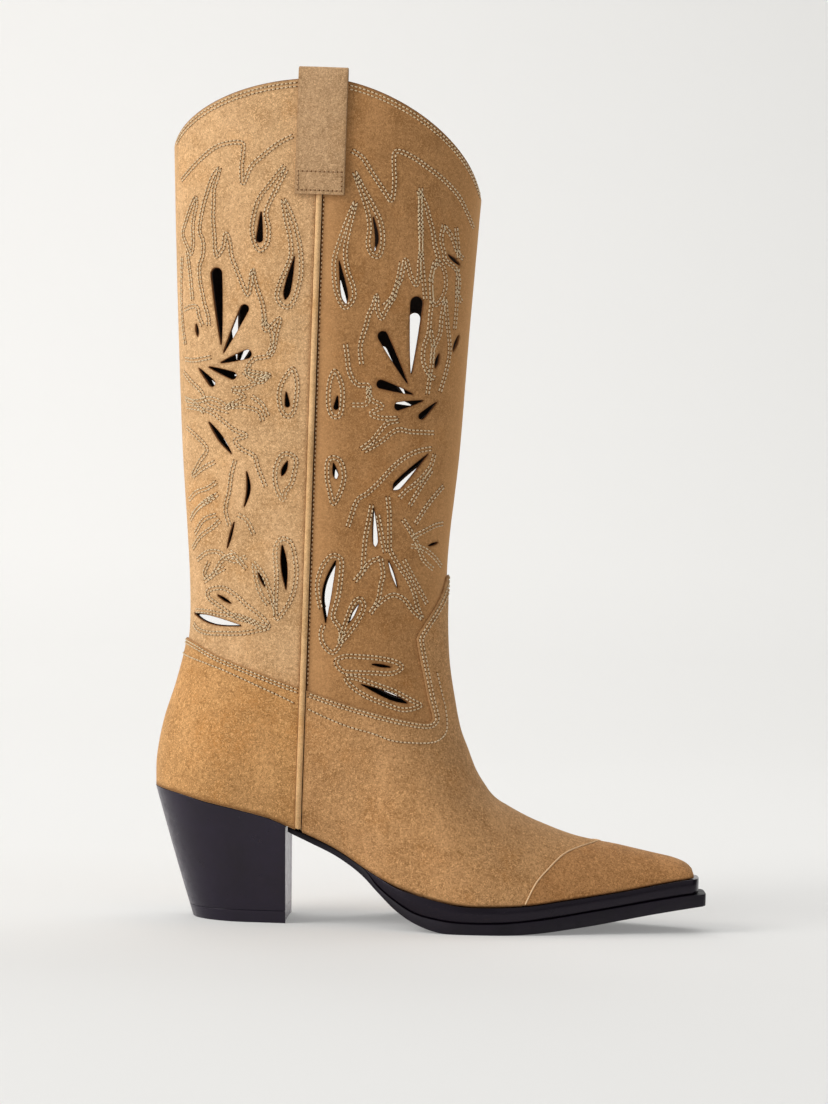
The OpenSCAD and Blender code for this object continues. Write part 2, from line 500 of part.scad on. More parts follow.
// Heel: a D-shaped block, v = 0 at the seat to 1 at the ground
function heel_z(x, v) = mix(feather(x) - 0.35, 0, v);
function heel_loop(v) = let (
  rear_x = mix(-133.9, -113.8, v), round_depth = mix(33, 26, v),
  round_hw = mix(31.9, heel_ground_hw, v),
  breast_x = mix(-70.2, -68.8, v), breast_hw = mix(30.4, heel_ground_hw - 0.4, v))
  concat(
    [for (k = [0:12]) let (a = 180*k/12, x = rear_x + round_depth*(1 - sin(a)))
      [x, -round_hw*cos(a), heel_z(x, v)]],
    [for (y = [1, 0.5, 0, -0.5, -1]) let (x = breast_x - 1.6*(1 - y*y))
      [x, y*breast_hw, heel_z(x, v)]]);
module heel_solid() loft([for (v = [0, 0.33, 0.67, 1]) heel_loop(v)]);
module heel_block() color([0.05,0.035,0.05]) difference() {
  intersection() {
    heel_solid();
    translate([-160,-60,lift_t + 0.1]) cube([120,120,90]);
  }
  fixing_holes();
  shank_slot(0, 3);
  lift_nail_holes();
}
module top_lift() color([0.06,0.06,0.06]) difference() {
  intersection() {
    heel_solid();
    translate([-160,-60,-1]) cube([120,120,1 + lift_t]);
  }
  lift_nail_holes();
}

// Fixings: places [x, y], lengths under the head, head diameters
SCREW = [-98, 0];
NAILS = [[-114,-12],[-114,12],[-86,-16],[-86,16],[-120,0]];
LIFT_NAILS = [[-104,0],[-84,-13],[-84,13]];
screw_l = 30;
screw_head_d = 8;
nail_l = 18;
nail_head_d = 4;
head_h = 0.8;
head_sink = 0.01; // head's overlap with the shank
hole_gap = 0.05;  // clearance all round a heel screw or nail
lift_nail_d = 2;
lift_hole_d = 2.05;
module fixing(p, d, l, head_d, gap)
  translate([p[0], p[1], feather(p[0]) + insole_rise + insole_t]) {
    translate([0,0,-l]) cylinder(d=d + 2*gap, h=l, $fn=24);
    translate([0,0,-head_sink]) cylinder(d=head_d + 2*gap, h=head_h, $fn=24);
  }
module screw(gap=0) fixing(SCREW, screw_d, screw_l, screw_head_d, gap);
module nails(gap=0) for (p = NAILS) fixing(p, nail_d, nail_l, nail_head_d, gap);
module fixing_holes() {
  screw(hole_gap);
  nails(hole_gap);
}
module lift_pins(low_z, d, h) for (p = LIFT_NAILS)
  translate([p[0],p[1],low_z]) cylinder(d=d, h=h, $fn=24);
module lift_nail_holes() lift_pins(-1, lift_hole_d, lift_t + 9);
module heel_screw() color([0.75,0.75,0.77]) screw();
module heel_nails() color(nail_color) nails();
module top_lift_nails() color(nail_color) lift_pins(1, lift_nail_d, lift_t + 6.9);

module placed() translate(place) children();

placed() vamp();
placed() toe_cap();
placed() counter();
placed() front_shaft_panel();
placed() back_shaft_panel();
placed() front_shaft_lining();
placed() back_shaft_lining();
placed() vamp_lining();
placed() heel_lining();
placed() counter_stiffener();
placed() toe_puff();
placed() outer_side_piping();
placed() inner_side_piping();
placed() outer_pull_strap();
placed() inner_pull_strap();
placed() insole_board();
placed() heel_pad();
placed() sock_liner();
placed() steel_shank();
placed() bottom_filler();
placed() rand();
placed() outsole();
placed() heel_block();
placed() top_lift();
placed() heel_screw();
placed() heel_nails();
placed() top_lift_nails();
placed() top_edge_stitching();
placed() vamp_stitching();
placed() counter_stitching();
placed() pull_strap_stitching();
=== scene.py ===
"""Cowboy boot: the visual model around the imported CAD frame.

The boot stands on z = 0 with its toe towards +x and its outer side towards -y.  Shapes are
worked out in millimetres; new_mesh() shifts them by PLACE and turns them into metres.
Materials, lights and the camera are in metres.
"""
import math
import bpy
import numpy as np
from mathutils import Vector, Matrix, kdtree
from mathutils.geometry import delaunay_2d_cdt
from numpy.linalg import norm

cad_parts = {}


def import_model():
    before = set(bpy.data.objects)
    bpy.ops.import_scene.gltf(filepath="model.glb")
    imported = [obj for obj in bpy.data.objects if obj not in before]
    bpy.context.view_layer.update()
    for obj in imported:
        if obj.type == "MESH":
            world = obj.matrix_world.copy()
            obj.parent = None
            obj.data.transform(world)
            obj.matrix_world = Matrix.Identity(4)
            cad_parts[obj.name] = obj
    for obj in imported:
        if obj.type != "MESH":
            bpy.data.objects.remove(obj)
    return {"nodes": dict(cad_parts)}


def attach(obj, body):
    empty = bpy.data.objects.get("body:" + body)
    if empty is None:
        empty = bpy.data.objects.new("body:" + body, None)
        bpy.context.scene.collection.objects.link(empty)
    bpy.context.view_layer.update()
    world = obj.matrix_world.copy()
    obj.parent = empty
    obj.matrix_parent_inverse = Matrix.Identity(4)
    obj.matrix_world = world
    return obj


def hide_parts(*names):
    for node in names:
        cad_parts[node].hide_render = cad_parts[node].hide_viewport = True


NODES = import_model()["nodes"]
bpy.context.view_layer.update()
MM = 0.001
PLACE = np.array([1.705, -0.17, 0.0])      # puts the middle of the footprint at the origin
STEP = 1.7                # triangle size of the leather
EDGE_STEP = 1.25          # point spacing along its outlines

# ---- Form of the boot
# Rows across the front patch, from the top edge to the toe:
# low end x, z; high end on the middle line x, z; length over which the width closes there
SECTIONS = np.array([
    [-137.6,402,16.5,402,76.5], [-134.8,345,13,345,73.4], [-131.3,285,9.7,285,70],
    [-127.2,225,6.9,225,66.5], [-123.2,182,3.2,180,62.7], [-121,152,3.2,148,61.6],
    [-121.2,132,4.6,126,62], [-125.3,112,7.8,108,61], [-130.5,94,11,94,58],
    [-133.3,76,15.2,83.6,56], [-133.2,62.6,18,76.8,54], [-129,61.8,20,72.8,53],
    [-121,60.3,22,69.6,52], [-109,57.3,24,66.8,51], [-94,54.2,26,64,50],
    [-78,50.3,28.5,61.4,48], [-62,43.8,31.5,59.2,47], [-46,36.5,34.8,57.4,45],
    [-31,27.5,38.5,55.4,43.5], [-17,20.5,43,53.1,42], [-2,16,48,50.8,40], [14,13.2,54,48.5,37.5],
    [30,13,61,45.9,34.5], [46,13.8,69,43.5,31], [62,16,78.5,41.6,27], [78,18.2,88.5,40,23],
    [92,20.3,98.5,38,18.5], [104,22.5,107.5,36.2,14.5], [114,24.3,115.5,34.6,10.8],
    [121,25.4,121.3,32.5,7.4], [124.6,26,124.5,30,4], [125.6,26.1,125.5,27.2,1.1]])
SHAFT_ROWS = 8                             # rows up to this one belong to the shaft
ROWS = np.column_stack([np.arange(len(SECTIONS)), SECTIONS])
BACK_LINE = SECTIONS[10::-1][:, [1, 0]]                # z, x of the back
FRONT_LINE = SECTIONS[SHAFT_ROWS::-1][:, [3, 2, 4]]    # z, x of the front, rounding length
# x, half width at the feather line, half width 22 mm above it
FOOT = np.array([
    [-134,31,34], [-110,31,34.3], [-94,30.8,34.5], [-78,29.5,34.5], [-62,28,34.5], [-46,28,35.5],
    [-31,31,37], [-17,36,40], [-2,40.5,42.5], [14,42.8,43.3], [30,42,42], [46,38.8,38.6],
    [62,33.8,33.5], [78,28,27.6], [92,22.5,22], [104,18,17.6], [114,14.2,13.8], [121,11.6,11.2],
    [124.6,9.6,9.2], [125.6,8,7.6]])
# z, half width of the shaft
SHAFT = np.array([[60,33], [95,32.6], [125,31.8], [150,32.2], [182,33.8], [225,36.2], [285,38.5],
                  [345,40], [402,40.5]])
# z, rounding length at the back
BACK_ROUND = np.array([[55,33], [75,34], [100,43], [125,53], [150,61.6], [182,62.7], [225,66.5],
                       [285,70], [345,73.4], [402,76.5]])
# x, z of the feather line, where the upper ends at the sole
FEATHER = np.array([
    [-134,62.6], [-121,60.3], [-109,57.3], [-94,54.2], [-78,50.3], [-62,43.8], [-46,36.5],
    [-31,27.5], [-17,20.5], [-2,16], [14,13.2], [30,13], [46,13.8], [62,16], [78,18.2],
    [92,20.3], [104,22.5], [114,24.3], [126,26.1]])
TOE_SWING = 6.0                            # how far the toe turns towards +y
SEAM_X = -64.0                             # the side seams
SLOT = 3.1/2 - 0.02                        # half the gap between the panels at a seam
BACK_EDGE, FRONT_EDGE = SEAM_X - SLOT, SEAM_X + SLOT
TOP_SIDE, TOP_BACK, TOP_FRONT = 399.0, 366.0, 343.0    # heights of the top edge


def curve(at, table, column=1):
    """Cubic through a column of the table, its slopes taken from the neighbouring points."""
    at = np.asarray(at, float)
    knots, values = table[:, 0], table[:, column]
    last = len(table) - 1
    i = np.clip(np.searchsorted(knots, at, side="right") - 1, 0, last - 1)

    def slope(k):
        before, after = np.maximum(0, k - 1), np.minimum(last, k + 1)
        return (values[after] - values[before])/(knots[after] - knots[before])
    gap = knots[i+1] - knots[i]
    t = np.clip((at - knots[i])/gap, 0, 1)
    return ((2*t**3 - 3*t**2 + 1)*values[i] + (t**3 - 2*t**2 + t)*(slope(i)*gap)
            + (3*t**2 - 2*t**3)*values[i+1] + (t**3 - t**2)*(slope(i+1)*gap))


def ease(t):
    t = np.clip(t, 0, 1)
    return t*t*(3 - 2*t)


def arc(t):
    """Quarter circle from 0 up to 1."""
    left = 1 - np.clip(t, 0, 1)
    return np.sqrt(np.maximum(0, 1 - left*left))


def mix(a, b, t):
    return a + (b - a)*t


def feather(x):
    return curve(x, FEATHER)


def back_x(z):
    return curve(z, BACK_LINE)


def front_x(z):
    return curve(z, FRONT_LINE)


def width(x, z):
    foot = mix(curve(x, FOOT), curve(x, FOOT, 2), ease((z - feather(x))/22))
    return mix(foot, curve(z, SHAFT), ease((z - 50)/70)*ease((60 - x)/40))


def swing(x):
    return TOE_SWING*ease(np.asarray(x)/120)


def back_round(x, z):
    return arc((x - back_x(z))/curve(z, BACK_ROUND))


def half(x, z):
    """Half width of the boot, closed at the back and at the front of the shaft."""
    front = np.where(z > 93.9, arc((front_x(z) - x)/curve(z, FRONT_LINE, 2)), 1)
    return width(x, z)*back_round(x, z)*front


def top_z(x):
    """Top edge of the shaft: high at the sides, dipped at the back and more at the front."""
    x = np.asarray(x)
    off = np.clip(np.abs((x + 61.5)/74.5), 0, 1)
    forward = np.clip((x + 61.5)/75, 0, 1)
    return np.where(x < -61.5, mix(TOP_BACK, TOP_SIDE, np.sqrt(1 - off*off)**1.15),
                    mix(TOP_FRONT, TOP_SIDE, (1 - forward**1.60)**0.55))


# ---- Point lists
def columns(*parts):
    return np.stack(np.broadcast_arrays(*parts), -1)


def unit(vectors):
    return vectors/np.maximum(1e-9, norm(vectors, axis=-1, keepdims=True))


def tangents(points):
    return unit(np.gradient(points, axis=0))


def run_length(points):
    return np.concatenate([[0], np.cumsum(norm(np.diff(points, axis=0), axis=1))])


def along(at, run, points):
    """The points of a line at given lengths along it."""
    return np.stack([np.interp(at, run, column) for column in points.T], -1)


def resample(points, step):
    run = run_length(points)
    count = max(2, int(round(run[-1]/step)) + 1)
    return along(np.linspace(0, run[-1], count), run, points)


def resample_loop(loop, step):
    return resample(np.vstack([loop, loop[:1]]), step)[:-1]


def smooth_line(points, step):
    """Catmull-Rom through the points, sampled about every step."""
    pts = np.asarray(points, float)
    if norm(pts[0] - pts[-1]) < 1e-6:
        before, after = pts[-2], pts[1]
    else:
        before, after = 2*pts[0] - pts[1], 2*pts[-1] - pts[-2]
    pts = np.vstack([before, pts, after])
    out = []
    for a, b, c, d in zip(pts, pts[1:], pts[2:], pts[3:]):
        count = max(2, int(norm(c - b)/(step*0.5)) + 1)
        t = np.linspace(0, 1, count, endpoint=False)[:, None]
        out.append(0.5*((2*b) + (-a+c)*t + (2*a-5*b+4*c-d)*t*t + (-a+3*b-3*c+d)*t**3))
    return resample(np.vstack(out + [pts[-2:-1]]), step)


def join(parts):
    """One open loop from its parts, without doubled points."""
    loop = np.vstack(parts)
    loop = loop[np.concatenate([[True], norm(np.diff(loop, axis=0), axis=1) > 1e-4])]
    return loop[:-1] if norm(loop[0] - loop[-1]) < 1e-4 else loop


def inside(pts, loops):
    """Even-odd test of points against closed loops."""
    result = np.zeros(len(pts), bool)
    for loop in loops:
        near = np.where(((pts >= loop.min(0)) & (pts <= loop.max(0))).all(1))[0]
        if not len(near):
            continue
        x, y = pts[near, 0][:, None], pts[near, 1][:, None]
        ends = np.roll(loop, -1, axis=0)
        odd = np.zeros(len(near), bool)
        for k in range(0, len(loop), 256):         # in blocks, to spare memory
            ax, ay = loop[k:k+256].T
            bx, by = ends[k:k+256].T
            hit = ((ay > y) != (by > y)) & (x < (bx-ax)*(y-ay)/(by-ay+1e-15)+ax)
            odd ^= (hit.sum(1) % 2).astype(bool)
        result[near] ^= odd
    return result


def distances(points, targets):
    """From each 3D point to the nearest target."""
    tree = kdtree.KDTree(len(targets))
    for i, target in enumerate(targets.tolist()):
        tree.insert(target, i)
    tree.balance()
    return np.array([tree.find(point)[2] for point in points.tolist()])


def noise_mm(points, size, seed=0):
    """Smooth value noise in -1..1 at the given size in mm."""
    grid = np.asarray(points, float)/size + seed*17.13
    cell = np.floor(grid).astype(np.int64)
    frac = grid - cell
    frac = frac*frac*(3 - 2*frac)

    def lattice(a, b, c):
        mask = 0xffffffff
        n = (a*73856093) ^ (b*19349663) ^ (c*83492791) ^ (seed*2654435761 & mask)
        n = (n ^ (n >> 13))*1274126177 & mask
        return ((n ^ (n >> 16)) & 0xffff)/32767.5 - 1
    total = 0
    for corner in np.ndindex(2, 2, 2):
        wx, wy, wz = [f if far else 1 - f for f, far in zip(frac.T, corner)]
        total = total + wx*wy*wz*lattice(*(cell + corner).T)
    return total


# ---- Surface patches
class Patch:
    """A surface: pos() takes (u, v), in about millimetres, to a place on it."""

    def frame(self, uv):
        """Place, outward normal and the two tangents (per mm of u and v)."""
        reach = 0.35
        place = self.pos(uv)
        du = self.pos(uv + [reach, 0]) - self.pos(uv - [reach, 0])
        dv = self.pos(uv + [0, reach]) - self.pos(uv - [0, reach])
        normal = unit(np.cross(du, dv))
        x, y, z = place.T
        # outward: away from the middle plane, and at the ridge or the back away from the axis
        out_x = np.where(z > 100, (x + 62)*0.4, np.where(x < -64, (x + 64)*0.6, 0))
        outward = columns(out_x, y - swing(x), np.where(x > -30, 12.0*(z < 110), 0))
        normal *= np.sign((normal*outward).sum(1, keepdims=True) + 1e-12)
        return place, normal, du/(2*reach), dv/(2*reach)


def row_ends(row):
    return [curve(row, ROWS, column) for column in range(1, 6)]


def front_point(row, across):
    """Place on the front patch; across runs -1..1, 0 on the middle line."""
    low_x, low_z, high_x, high_z, closing = row_ends(row)
    # a shaft row ends on the front line, never past it
    high_x = np.where(row <= SHAFT_ROWS, np.minimum(high_x, front_x(high_z) - 0.02), high_x)
    start = np.where(low_x < SEAM_X, (SEAM_X - low_x)/(high_x - low_x), 0)
    k = start + (1 - start)*np.sin(np.pi/2*(1 - np.abs(across)))
    x, z = mix(low_x, high_x, k), mix(low_z, high_z, k)
    length = np.hypot(high_x - low_x, high_z - low_z)
    side = np.where(row <= SHAFT_ROWS, half(x, z),
                    width(x, z)*back_round(x, z)*arc((1 - k)*length/closing))
    return columns(x, np.where(across < 0, -1, 1)*side + swing(x), z)


# v on the front patch is the length down the line halfway between seam and middle
ROW_SAMPLES = np.linspace(0, len(ROWS) - 1, 1241)
ROW_V = run_length(front_point(ROW_SAMPLES, np.full_like(ROW_SAMPLES, -0.5)))


def row_v(row):
    return float(np.interp(row, ROW_SAMPLES, ROW_V))


class FrontPatch(Patch):
    """Shaft front and foot: u -90..90 from the outer to the inner side, v down and forward."""

    def pos(self, uv):
        rows = np.interp(uv[:, 1], ROW_V, ROW_SAMPLES)
        return front_point(rows, np.clip(uv[:, 0]/90.0, -1, 1))

    def inv(self, xs, zs, side):
        """(u, v) of points given in the side view."""
        low_x, low_z, high_x, high_z, _ = row_ends(ROW_SAMPLES)

        def on_row(row, x, z):
            """How far along the row the point lies, and the row's start and end x."""
            ax, az, bx, bz, _ = [float(value) for value in row_ends(row)]
            return ((x-ax)*(bx-ax) + (z-az)*(bz-az))/((bx-ax)**2 + (bz-az)**2), ax, bx
        out = []
        for x, z in np.broadcast(xs, zs):
            off = (high_x - low_x)*(z - low_z) - (high_z - low_z)*(x - low_x)
            best = None
            for j in np.where(off[:-1]*off[1:] <= 0)[0]:
                change = off[j] - off[j+1]
                part = off[j]/change if abs(change) > 1e-12 else 0.5
                row = ROW_SAMPLES[j] + part*(ROW_SAMPLES[j+1] - ROW_SAMPLES[j])
                hit = on_row(row, x, z)
                beyond = max(0, -hit[0], hit[0] - 1)
                if best is None or beyond < best[0] - 1e-6:
                    best = (beyond, row, hit)
            if best is None:
                row = ROW_SAMPLES[int(np.argmin(np.abs(off)))]
                best = (0, row, on_row(row, x, z))
            _, row, (k, start_x, end_x) = best
            start = (SEAM_X - start_x)/(end_x - start_x) if start_x < SEAM_X else 0
            t = math.asin(min(1, max(0, (k - start)/(1 - start))))/(math.pi/2)
            out.append((side*90*(1 - t), row_v(row)))
        return np.array(out)


class BackPatch(Patch):
    """Behind the side seams: u is an angle -90..90 from outer to inner, v is -z."""

    def pos(self, uv):
        z = -uv[:, 1]
        angle = np.radians(np.clip(uv[:, 0], -90, 90))
        x = mix(back_x(z), SEAM_X, 1 - np.cos(angle))
        return columns(x, np.where(uv[:, 0] < 0, -1, 1)*half(x, z), z)

    def inv(self, xs, zs, side):
        rear = back_x(zs)
        cosine = np.clip(1 - (xs - rear)/(SEAM_X - rear), -1, 1)
        return columns(side*np.degrees(np.arccos(cosine)), -zs)


class Plate(Patch):
    """A lying sheet halfway between two height curves over x."""

    def __init__(self, low, high):
        self.low, self.high = low, high

    def frame(self, uv):
        x, y = uv.T
        place = columns(x, y, (self.low(x) + self.high(x))/2)
        return (place, *(np.tile(axis, (len(uv), 1)) for axis in
                         ([0, 0, 1.0], [1.0, 0, 0], [0, 1.0, 0])))


FRONT, BACK = FrontPatch(), BackPatch()


# ---- Mesh tools
def new_mesh(name, points, faces):
    mesh = bpy.data.meshes.new(name)
    mesh.from_pydata(((np.asarray(points, float) + PLACE)*MM).tolist(), [], faces)
    mesh.validate()
    mesh.update()
    mesh.polygons.foreach_set("use_smooth", np.ones(len(mesh.polygons), bool))
    ob = bpy.data.objects.new(name, mesh)
    bpy.context.scene.collection.objects.link(ob)
    return ob


def ring_faces(rings, size):
    """Quads between neighbouring rings of points."""
    return [[i*size+j, i*size+(j+1) % size, (i+1)*size+(j+1) % size, (i+1)*size+j]
            for i in range(rings-1) for j in range(size)]


def put_attr(ob, name, values):
    attr = ob.data.attributes.new(name, "FLOAT", "POINT")
    attr.data.foreach_set("value", np.asarray(values, np.float32))


def second_material(ob, count):
    """Give the last faces the second material slot."""
    index = np.zeros(len(ob.data.polygons), np.int32)
    index[len(index) - count:] = 1
    ob.data.polygons.foreach_set("material_index", index)


def take(ob, nodes=(), mat=None):
    """Hand a piece to the frame: its slot, and the CAD nodes it stands in for."""
    if mat is not None:
        ob.data.materials.append(mat)
    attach(ob, "root")
    if nodes:
        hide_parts(*nodes)


def fill(loops, step):
    """Even triangles inside closed loops (the first is the outline, the others are holes)."""
    border = np.vstack(loops)
    edges, first = [], 0
    for loop in loops:
        count = len(loop)
        edges += [(first+i, first+(i+1) % count) for i in range(count)]
        first += count
    low, high = loops[0].min(0), loops[0].max(0)
    pitch = step*0.866
    grid = np.vstack([
        columns(np.arange(low[0] + (0.5*step if k % 2 else 0.25*step), high[0], step), y)
        for k, y in enumerate(np.arange(low[1]+pitch*0.5, high[1], pitch))])
    grid = grid[inside(grid, loops)]
    clear = distances(columns(*grid.T, 0), columns(*border.T, 0)) > 0.55*step
    points = np.vstack([border, grid[clear]])
    result = delaunay_2d_cdt([Vector(p) for p in points.tolist()], edges, [], 0, 1e-6)
    verts = np.array([tuple(p) for p in result[0]])
    tris = np.array(list(result[2]))
    tris = tris[inside(verts[tris].mean(1), loops)]
    # turn all the same way and drop slivers
    a, b, c = verts[tris[:, 0]], verts[tris[:, 1]], verts[tris[:, 2]]
    area = (b[:, 0]-a[:, 0])*(c[:, 1]-a[:, 1]) - (b[:, 1]-a[:, 1])*(c[:, 0]-a[:, 0])
    tris[area < 0] = tris[area < 0][:, ::-1]
    tris = tris[np.abs(area) > 1e-7]
    used = np.unique(tris)
    renumber = -np.ones(len(verts), int)
    renumber[used] = np.arange(len(used))
    return verts[used], renumber[tris]


def boundary(tris):
    """Directed border edges, the filled side to their left."""
    edges = np.vstack([tris[:, [0, 1]], tris[:, [1, 2]], tris[:, [2, 0]]])
    key = edges.min(1)*10**7 + edges.max(1)
    _, index, count = np.unique(key, return_index=True, return_counts=True)
    return edges[index[count == 1]]


def shell(name, patch, loops, step, out, inn, radius=0.28):
    """Closed sheet with rounded edges over loops in a patch.

    out and inn are the offsets of its two faces, numbers or functions of the places.
    Gives the object, the places, which of them are on the border, and the border edge count.
    """
    uv, tris = fill(loops, step)
    place, normal, du, dv = patch.frame(uv)
    edges = boundary(tris)
    count = len(uv)
    away = np.zeros((count, 2))
    for k in (0, 1):
        d = unit(uv[edges[:, 1]] - uv[edges[:, 0]])
        np.add.at(away, edges[:, k], columns(d[:, 1], -d[:, 0]))
    on_rim = np.zeros(count, bool)
    on_rim[edges.ravel()] = True
    away = unit(away)
    side = away[:, :1]*du + away[:, 1:]*dv
    side -= (side*normal).sum(1, keepdims=True)*normal
    side = unit(side)
    side[~on_rim] = 0
    outer, inner = [np.zeros(count) + (offset(place) if callable(offset) else offset)
                    for offset in (out, inn)]
    r = min(radius, float((outer - inner).min())*0.45)
    rim = np.where(on_rim)[0]
    rim_index = -np.ones(count, int)
    rim_index[rim] = np.arange(len(rim))
    bevel = r*(1 - math.sqrt(0.5))

    def ring(offset, inset):
        return place[rim] + normal[rim]*offset[rim, None] - side[rim]*inset
    outer_face = place + normal*outer[:, None] - side*r
    inner_face = place + normal*inner[:, None] - side*r
    verts = np.vstack([outer_face, inner_face, ring(outer - bevel, bevel), ring(outer - r, 0),
                       ring(inner + r, 0), ring(inner + bevel, bevel)])
    turn = np.cross(outer_face[tris[:, 1]]-outer_face[tris[:, 0]],
                    outer_face[tris[:, 2]]-outer_face[tris[:, 0]])
    order = 1 if (turn*normal[tris[:, 0]]).sum(1).sum() > 0 else -1     # 1 faces outward
    levels = [edges, *(2*count + k*len(rim) + rim_index[edges] for k in range(4)), edges + count]
    faces = tris[:, ::order].tolist() + (tris[:, ::-order] + count).tolist()
    for near, far in zip(levels, levels[1:]):
        faces += np.hstack([near[:, ::-1], far])[:, ::order].tolist()
    return new_mesh(name, verts, faces), place, rim, len(edges)


# ---- Lines of the design, [x, z] in the side view
COUNTER_TOP = np.array([[-135,134.5], [-121,133], [-106,126.2], [-92.5,121.4], [-76,115.7],
                        [-64,111.8], [-50,107.2]])
VAMP_TOP = np.array([
    [-66,112.4], [-48.5,107], [-32,102.4], [-18,99.2], [-6,97.3], [-2.4,98.6], [-2.9,102],
    [-4.9,109], [-8.8,125.5], [-10.8,134.6], [-10.9,138], [-7.5,144.2], [-2.1,153.4], [1,161.5],
    [2.2,167.5]])
CAP_EDGE = np.array([[43.7,13.8], [48.7,24.1], [55.2,31.2], [62,36.8], [70,39.7], [78.5,41.4]])
FRONT_LOW = np.array([[-68.0,103], [-50,98], [-32,95.5], [60,95.5]])

# Openings in the shaft: start x, z; end x, z; radius; widest place along it (0: at the head); bow
BACK_CUTS = np.array([
    [-91.8,322.9, -91.4,335.8, 1.6,0,0], [-78.6,294.8, -74.8,315.3, 1.6,0.2,0],
    [-112.1,306.4, -108.6,272.9, 2.8,0,0], [-97.9,290.0, -107.4,269.2, 2.1,0,0],
    [-95.9,268.8, -108.7,264.4, 2.1,0,0], [-102.6,258.5, -114.5,262.4, 1.8,0,0],
    [-112.6,254.7, -119.4,261.7, 1.6,0,0], [-121.4,282.8, -120.4,276.6, 0.8,0.5,0],
    [-75.9,245.5, -76.7,251.6, 1.2,0,0], [-77.5,212.0, -74.9,219.2, 1.2,0.4,0],
    [-113.6,236.4, -101.9,221.6, 1.3,0.5,0], [-94.4,213.6, -95.0,196.8, 0.9,0.5,1.5],
    [-99.6,189.5, -102.6,176.9, 0.6,0.5,0], [-76.2,179.5, -73.7,158.4, 1.5,0.45,0],
    [-87.3,165.9, -83.7,159.3, 0.6,0.5,0], [-106.8,154.5, -99.9,150.8, 0.7,0.5,0],
    [-118.4,145.2, -94.6,140.5, 1.8,0.4,-0.9]])
FRONT_CUTS = np.array([
    [-38.2,335.0, -37.1,319.0, 0.9,0.6,1.3], [-49.7,293.9, -53.7,313.9, 1.6,0.2,0],
    [-16.3,295.7, -17.8,262.3, 3.1,0,0], [-31.8,279.3, -19.3,257.5, 2.5,0,0],
    [-32.0,256.8, -16.5,252.7, 2.1,0,0], [-23.4,246.7, -11.7,249.9, 1.9,0,0],
    [-12.1,242.5, -5.2,249.5, 1.6,0,0], [-6.5,265.5, -4.9,272.5, 0.9,0.5,0],
    [-2.2,319.5, 3.7,314.9, 0.8,0.5,0], [4.4,281.9, 1.8,273.9, 0.8,0.5,0],
    [-52.8,245.1, -52.3,250.5, 1.2,0,0], [-51.5,211.5, -53.2,219.0, 1.3,0.3,0],
    [-24.4,207.3, -8.4,224.9, 2.1,0.12,0], [-31.8,180.1, -33.4,198.7, 1.3,0.15,0],
    [-25.5,173.8, -20.7,160.9, 0.7,0.5,0], [-6.8,181.3, -2.1,183.0, 0.6,0.5,0],
    [-50.6,173.0, -54.3,143.4, 2.2,0.5,-1.7], [-43.7,143.7, -38.9,152.9, 0.8,0.4,0],
    [-31.8,124.6, -22.6,123.4, 0.7,0.5,0], [-14.0,106.7, -36.6,115.1, 1.6,0.35,0]])

